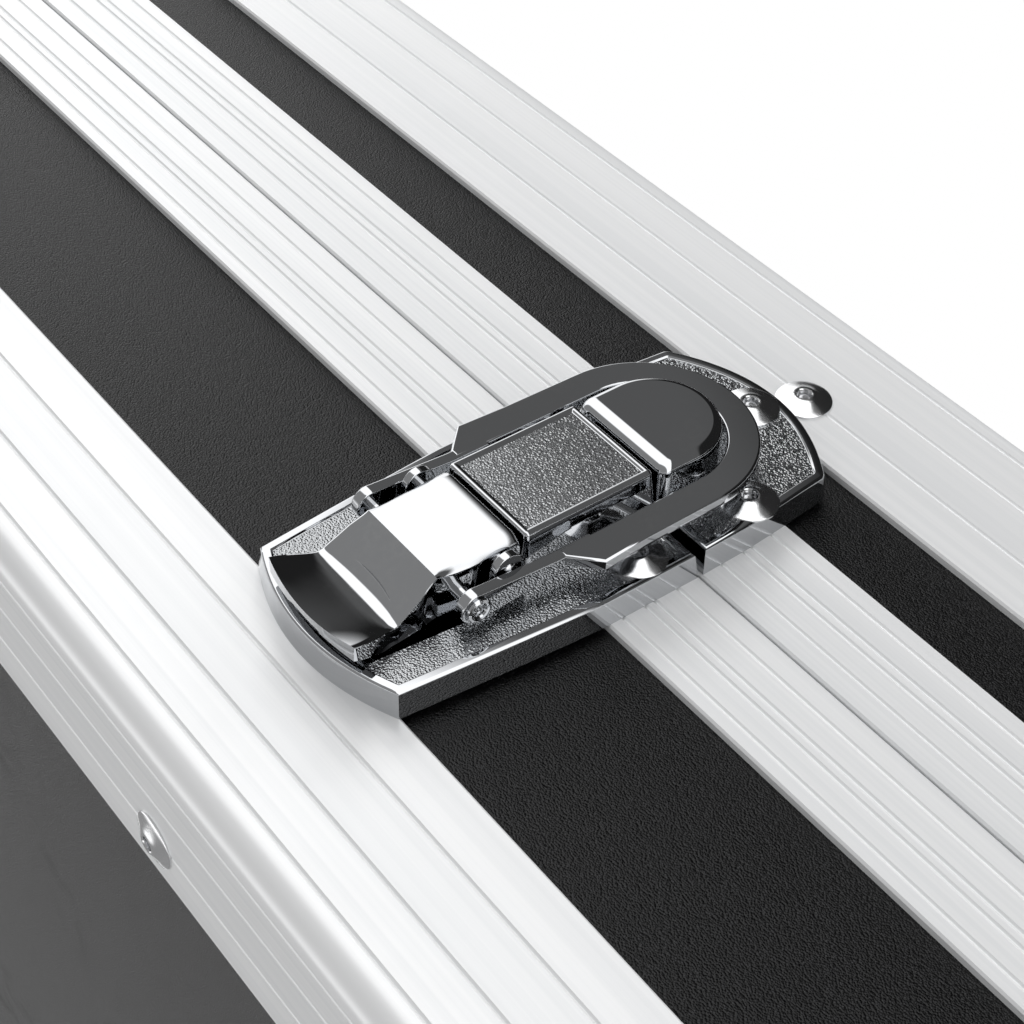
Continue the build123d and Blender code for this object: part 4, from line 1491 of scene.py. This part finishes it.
    def build(self) -> None:
        """Build the latches and set them on the front wall."""
        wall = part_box("base_edge_angles")[0].y
        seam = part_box("base_closing_profiles")[1].z + 0.2 * MM
        places = []
        for number in range(1, 5):
            low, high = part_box(f"latch_lever_{number}")
            places.append(on_wall((low.x + high.x) / 2, seam, wall))
        cast = [self.looks[kind] for kind in ("chrome", "chrome_pebbled", "chrome_grained")]
        # bored adds the bore material, painted shade inside the link pins' hollow ends.
        plated, bored = cast[:1], [self.looks["chrome"], self.looks["bore"]]
        for name, part, node, body, finishes_used, slot in (
            ("latch_base_castings", self.base_casting(), "latch_bases", "base", cast, "chrome_casting"),
            ("latch_keeper_castings", self.keeper(), "latch_keepers", "lid", cast, "chrome_casting"),
            ("fulcrum_pins", self.fulcrum_pin(), "latch_fulcrum_pins", "base", plated, "chrome_steel"),
        ):
            whole = Shell()
            for place in places:
                whole.add(part, place)
            show(name, whole.mesh(name), finishes_used, slot, body, node)
        moving = (
            ("lever_arm", self.lever(), "latch_lever", "lever", plated, "chrome_casting", 24.0),
            ("link_tube", self.link_pin(), "latch_link_pin", "lever", bored, "chrome_steel", 24.0),
            ("draw_hoop", self.hoop(), "latch_hoop", "hoop", plated, "chrome_steel", 40.0),
        )
        for number, place in enumerate(places, start=1):
            for kind, part, node, body, finishes_used, slot, smooth in moving:
                whole = Shell()
                whole.add(part, place)
                name = f"{kind}_{number}"
                show(name, whole.mesh(name, smooth), finishes_used, slot,
                     f"latch_{number}_{body}", f"{node}_{number}")
        self.rivets(places)

    def rivets(self, places: Sequence[Placing]) -> None:
        """Set the rivets that hold the castings.

        Args:
            places: The latches' places on the wall.
        """
        level = self.skirt - self.step + 0.1
        for name, node, body, spots in (
            ("casting_rivets", "latch_base_rivets", "base", self.base_rivets),
            ("keeper_rivets", "latch_keeper_rivets", "lid", self.keeper_rivets),
        ):
            seats = [place(Vector((u, v, level))) for place in places for u, v in spots]
            heads = [Spot(tuple(seat), (0.0, -1.0, 0.0)) for seat in seats]
            Rivets(self.looks).set_out(name, heads, body, node)


# Handle, hinges and feet


@dataclass
class Fittings:
    """Carrying handle, stop hinges and feet."""

    looks: Looks

    foot_height: float = 13.5
    foot_recess: float = 5.0
    grip_bore: float = 4.05
    ribs: int = 18

    def build(self) -> None:
        """Dress the fittings."""
        chrome, zinc = self.looks["chrome"], self.looks["zinc"]
        refined("handle_plates", "handle_brackets", chrome, "chrome_steel", "base", 0.0004)
        refined("handle_bail", "handle_rod", chrome, "chrome_steel", "handle", 0.0, 40)
        self.grip()
        for name, node, body in (("hinge_leaves_base", "hinge_base_leaves", "base"),
                                 ("hinge_leaves_lid", "hinge_lid_leaves", "lid"),
                                 ("hinge_pin_rods", "hinge_pins", "base")):
            refined(name, node, zinc, "hinge_steel", body, 0.0003)
        self.feet()

    def grip(self) -> None:
        """Moulded sleeve with collars and ribs round the handle's cross bar."""
        low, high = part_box("handle_grip")
        centre = (low + high) / 2
        half, radius = (high.x - low.x) / 2 / MM, (high.z - low.z) / 2 / MM
        collar = [(self.grip_bore, 0.0), (radius - 2.2, 0.0), (radius - 0.9, 0.5), (radius - 0.4, 1.4),
                  (radius - 0.4, 4.4), (radius - 0.9, 5.0), (radius - 1.6, 5.4)]
        profile = [(r, h - half) for r, h in collar]
        rib = ((0.08, 0.55), (0.22, 0.12), (0.4, 0.0), (0.6, 0.0), (0.78, 0.12), (0.92, 0.55))
        margin = 7
        pitch = 2 * (half - margin) / self.ribs
        for i in range(self.ribs):
            start = -half + margin + i * pitch
            swell = radius - 0.15 - 0.5 * (2 * (i + 0.5) / self.ribs - 1) ** 2
            for share, depth in rib:
                profile.append((swell - depth, start + share * pitch))
        profile += [(r, half - h) for r, h in reversed(collar)]
        shell, whole = Shell(), Shell()
        shell.turned(profile, 40, (0, 0, 0), Across.U)
        whole.add(shell, lambda p: Vector((centre.x + p.x * MM, centre.y - p.z * MM, centre.z + p.y * MM)))
        show("handle_sleeve", whole.mesh("handle_sleeve", 50.0), [self.looks["grip_rubber"]], "grip_rubber",
             "handle", "handle_grip")

    def feet(self) -> None:
        """Turned feet with their pan-head screws."""
        foot, screw = Shell(), Shell()
        high, recess = self.foot_height, self.foot_recess
        foot.turned(((0.0, 0.0), (16.9, 0.0), (17.0, 0.4), (15.6, high - 1.4), (15.2, high - 0.4),
                     (14.4, high), (7.6, high), (6.6, high - 0.3), (6.0, high - 1.0),
                     (6.0, high - recess + 0.1), (0.0, high - recess)), 48)
        screw.turned(((0.0, -0.5), (4.5, -0.5), (4.6, 0.3), (4.5, 1.2), (3.9, 2.1), (2.9, 2.7), (1.6, 2.95),
                      (0.9, 2.95), (0.75, 1.4), (0.0, 1.3)), 28)
        for name, master, look, slot, node, sunk in (
            ("turned_feet", foot, "foot_rubber", "foot_rubber", "rubber_feet", 0.0),
            ("feet_screws", screw, "zinc", "hinge_steel", "foot_screws", high - recess),
        ):
            spots = []
            for least, most in centres("rubber_feet"):
                middle = (least + most) / 2
                spots.append(Spot((middle.x, middle.y, most.z - sunk * MM), (0.0, 0.0, -1.0)))
            repeat(name, master, spots, [self.looks[look], self.looks["bore"]], slot, "base", node)


# Lining


@dataclass
class Lining:
    """Plush-covered foam and the wooden tray inside."""

    looks: Looks
    block_voxel: float = 0.006
    wall_voxel: float = 0.0045
    fill: float = 0.85
    parts: tuple[tuple[str, str], ...] = (
        ("base_floor_pad", "base"), ("base_wall_pads", "base"), ("neck_side_blocks", "base"),
        ("neck_cradle", "base"), ("body_end_blocks", "base"), ("lid_ceiling_pad", "lid"),
        ("lid_wall_pads", "lid"), ("neck_holddown_pad", "lid"),
    )

    def build(self) -> None:
        """Replace each soft solid by a padded form and dress the tray."""
        for node, body in self.parts:
            self.pad(node, body)
        refined("tray_box", "accessory_tray", self.looks["tray_wood"], "tray_wood", "base", 0.0006)

    def pad(self, node: str, body: str) -> None:
        """Soften a foam solid: evenly remeshed and smoothed, so that its edges pull in.

        Args:
            node: The foam's CAD node.
            body: The body that it rides on.
        """
        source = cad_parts[node].data.copy()
        settle(source, 30.0, WELD)
        piece = linked(node, source)
        remesh = piece.modifiers.new("even", "REMESH")
        remesh.mode = "VOXEL"
        remesh.voxel_size = self.wall_voxel if node.endswith("wall_pads") else self.block_voxel
        relax = piece.modifiers.new("relax", "SMOOTH")
        relax.factor, relax.iterations = 0.5, 6
        name = node + "_plush"
        mesh = applied(piece, name)
        mesh.materials.clear()
        settle(mesh, 180.0)
        padded = show(name, mesh, [self.looks["plush"]], "plush_padding", body, node)


# Stage


@dataclass
class Studio:
    """Floor, soft lamps, world and the camera at the photograph's viewing angle."""

    place: Point = (0.6332, -0.42775, -0.0628)
    right: Point = (0.59883, -0.02041, 0.80061)
    up: Point = (-0.55393, -0.73254, 0.39565)
    lens: float = 72.8
    floor_half: float = 60.0
    front_light: float = 1.8
    ceiling_dark: float = 1.66
    zenith_dark: float = 0.12
    left_light: float = 1.6
    ground_share: float = 0.82
    fill_share: float = 0.32

    def build(self) -> None:
        """Set up the stage."""
        self.floor()
        self.world()
        self.lamp("lamp_left", (-1.5, -1.6, 1.5), (0.3, -0.2, 0.05), 0.9, 42.0)
        self.lamp("lamp_top", (0.2, -0.4, 2.6), (0.1, 0.0, 0.1), 1.8, 16.0)
        data = bpy.data.cameras.new("camera")
        data.sensor_width = 36.0
        data.lens = self.lens
        data.clip_start, data.clip_end = 0.01, 100.0
        camera = linked("camera", data)
        right, up = Vector(self.right), Vector(self.up)
        turn = Matrix((right, up, right.cross(up))).transposed()
        camera.matrix_world = Matrix.Translation(self.place) @ turn.to_4x4()
        bpy.context.scene.camera = camera
        bpy.context.scene.view_settings.view_transform = "Standard"

    def floor(self) -> None:
        """Pale floor that is seen through from below."""
        mesh = bpy.data.meshes.new("floor")
        half = self.floor_half
        corners = [(-half, -half, 0), (half, -half, 0), (half, half, 0), (-half, half, 0)]
        mesh.from_pydata(corners, [], [range(4)])
        floor = linked("floor", mesh)
        material = bpy.data.materials.new("floor_pale")
        material.use_nodes = True
        nodes = Nodes(material.node_tree)
        noise = nodes.add("ShaderNodeTexNoise", Scale=3.0)
        colour = nodes.colours(noise.outputs[0], (0.86, 0.86, 0.86), (0.90, 0.90, 0.90))
        matt = nodes.add("ShaderNodeBsdfDiffuse", Color=colour)
        clear = nodes.add("ShaderNodeBsdfTransparent")
        behind = nodes.add("ShaderNodeNewGeometry").outputs["Backfacing"]
        path = nodes.add("ShaderNodeLightPath")
        for kind in ("Is Shadow Ray", "Is Diffuse Ray", "Is Glossy Ray"):
            behind = nodes.number("MAXIMUM", behind, path.outputs[kind])
        mix = nodes.add("ShaderNodeMixShader")
        for source, target in zip((behind, matt.outputs[0], clear.outputs[0]), mix.inputs):
            nodes.link(source, target)
        nodes.add("ShaderNodeOutputMaterial", Surface=mix.outputs[0])
        mesh.materials.append(material)

    def world(self) -> None:
        """White background; metal sees bright bands and dark flags of a plain studio."""
        world = bpy.data.worlds.new("studio")
        bpy.context.scene.world = world
        world.use_nodes = True
        nodes = Nodes(world.node_tree)
        direction = nodes.add("ShaderNodeTexCoord").outputs["Generated"]
        x, y, z = nodes.add("ShaderNodeSeparateXYZ", Vector=direction).outputs
        ceiling, zenith = nodes.span(z, 0.36, 0.43), nodes.span(z, 0.53, 0.60)
        before = nodes.times(nodes.span(z, -0.18, -0.30), nodes.span(y, 0.3, -0.1))
        beneath = nodes.times(nodes.span(z, 0.02, -0.12), nodes.span(y, 0.3, 0.5))
        ground = nodes.times(nodes.number("MAXIMUM", before, beneath), self.ground_share)
        front = nodes.number("SUBTRACT", self.front_light, nodes.times(ceiling, self.ceiling_dark))
        front = nodes.number("SUBTRACT", front, nodes.times(zenith, self.zenith_dark))
        front = nodes.number("MAXIMUM", front, nodes.times(nodes.span(x, -0.70, -0.82), self.left_light))
        seen = nodes.times(front, nodes.number("SUBTRACT", 1.0, ground))
        path = nodes.add("ShaderNodeLightPath").outputs
        glossy, other = path["Is Glossy Ray"], nodes.number("SUBTRACT", 1.0, path["Is Camera Ray"])
        matt = nodes.number("SUBTRACT", 1.0, nodes.times(other, self.fill_share))
        keep = nodes.times(matt, nodes.number("SUBTRACT", 1.0, glossy))
        strength = nodes.number("ADD", keep, nodes.times(glossy, seen))
        background = nodes.add("ShaderNodeBackground", Color=(1, 1, 1, 1), Strength=strength)
        nodes.add("ShaderNodeOutputWorld", Surface=background.outputs[0])

    def lamp(self, name: str, place: Point, aim: Point, size: float, power: float) -> None:
        """Add one soft area lamp.

        Args:
            name: Its name.
            place: Where it stands.
            aim: The point that it shines at.
            size: Side of its square.
            power: Its power in watts.
        """
        data = bpy.data.lights.new(name, "AREA")
        data.shape, data.size, data.energy = "SQUARE", size, power
        lamp = linked(name, data)
        lamp.location = place
        lamp.visible_glossy = False
        lamp.rotation_mode = "QUATERNION"
        lamp.rotation_quaternion = (Vector(aim) - Vector(place)).to_track_quat("-Z", "Y")


def main() -> None:
    """Build the case's dressed pieces and the studio round them."""
    logging.basicConfig(level=logging.INFO, format="%(message)s")
    looks = finishes()
    CaseShell(looks).build()
    Rivets(looks).build()
    DrawLatch(looks).build()
    Fittings(looks).build()
    Lining(looks).build()
    Studio().build()


if __name__ == "__main__":
    main()
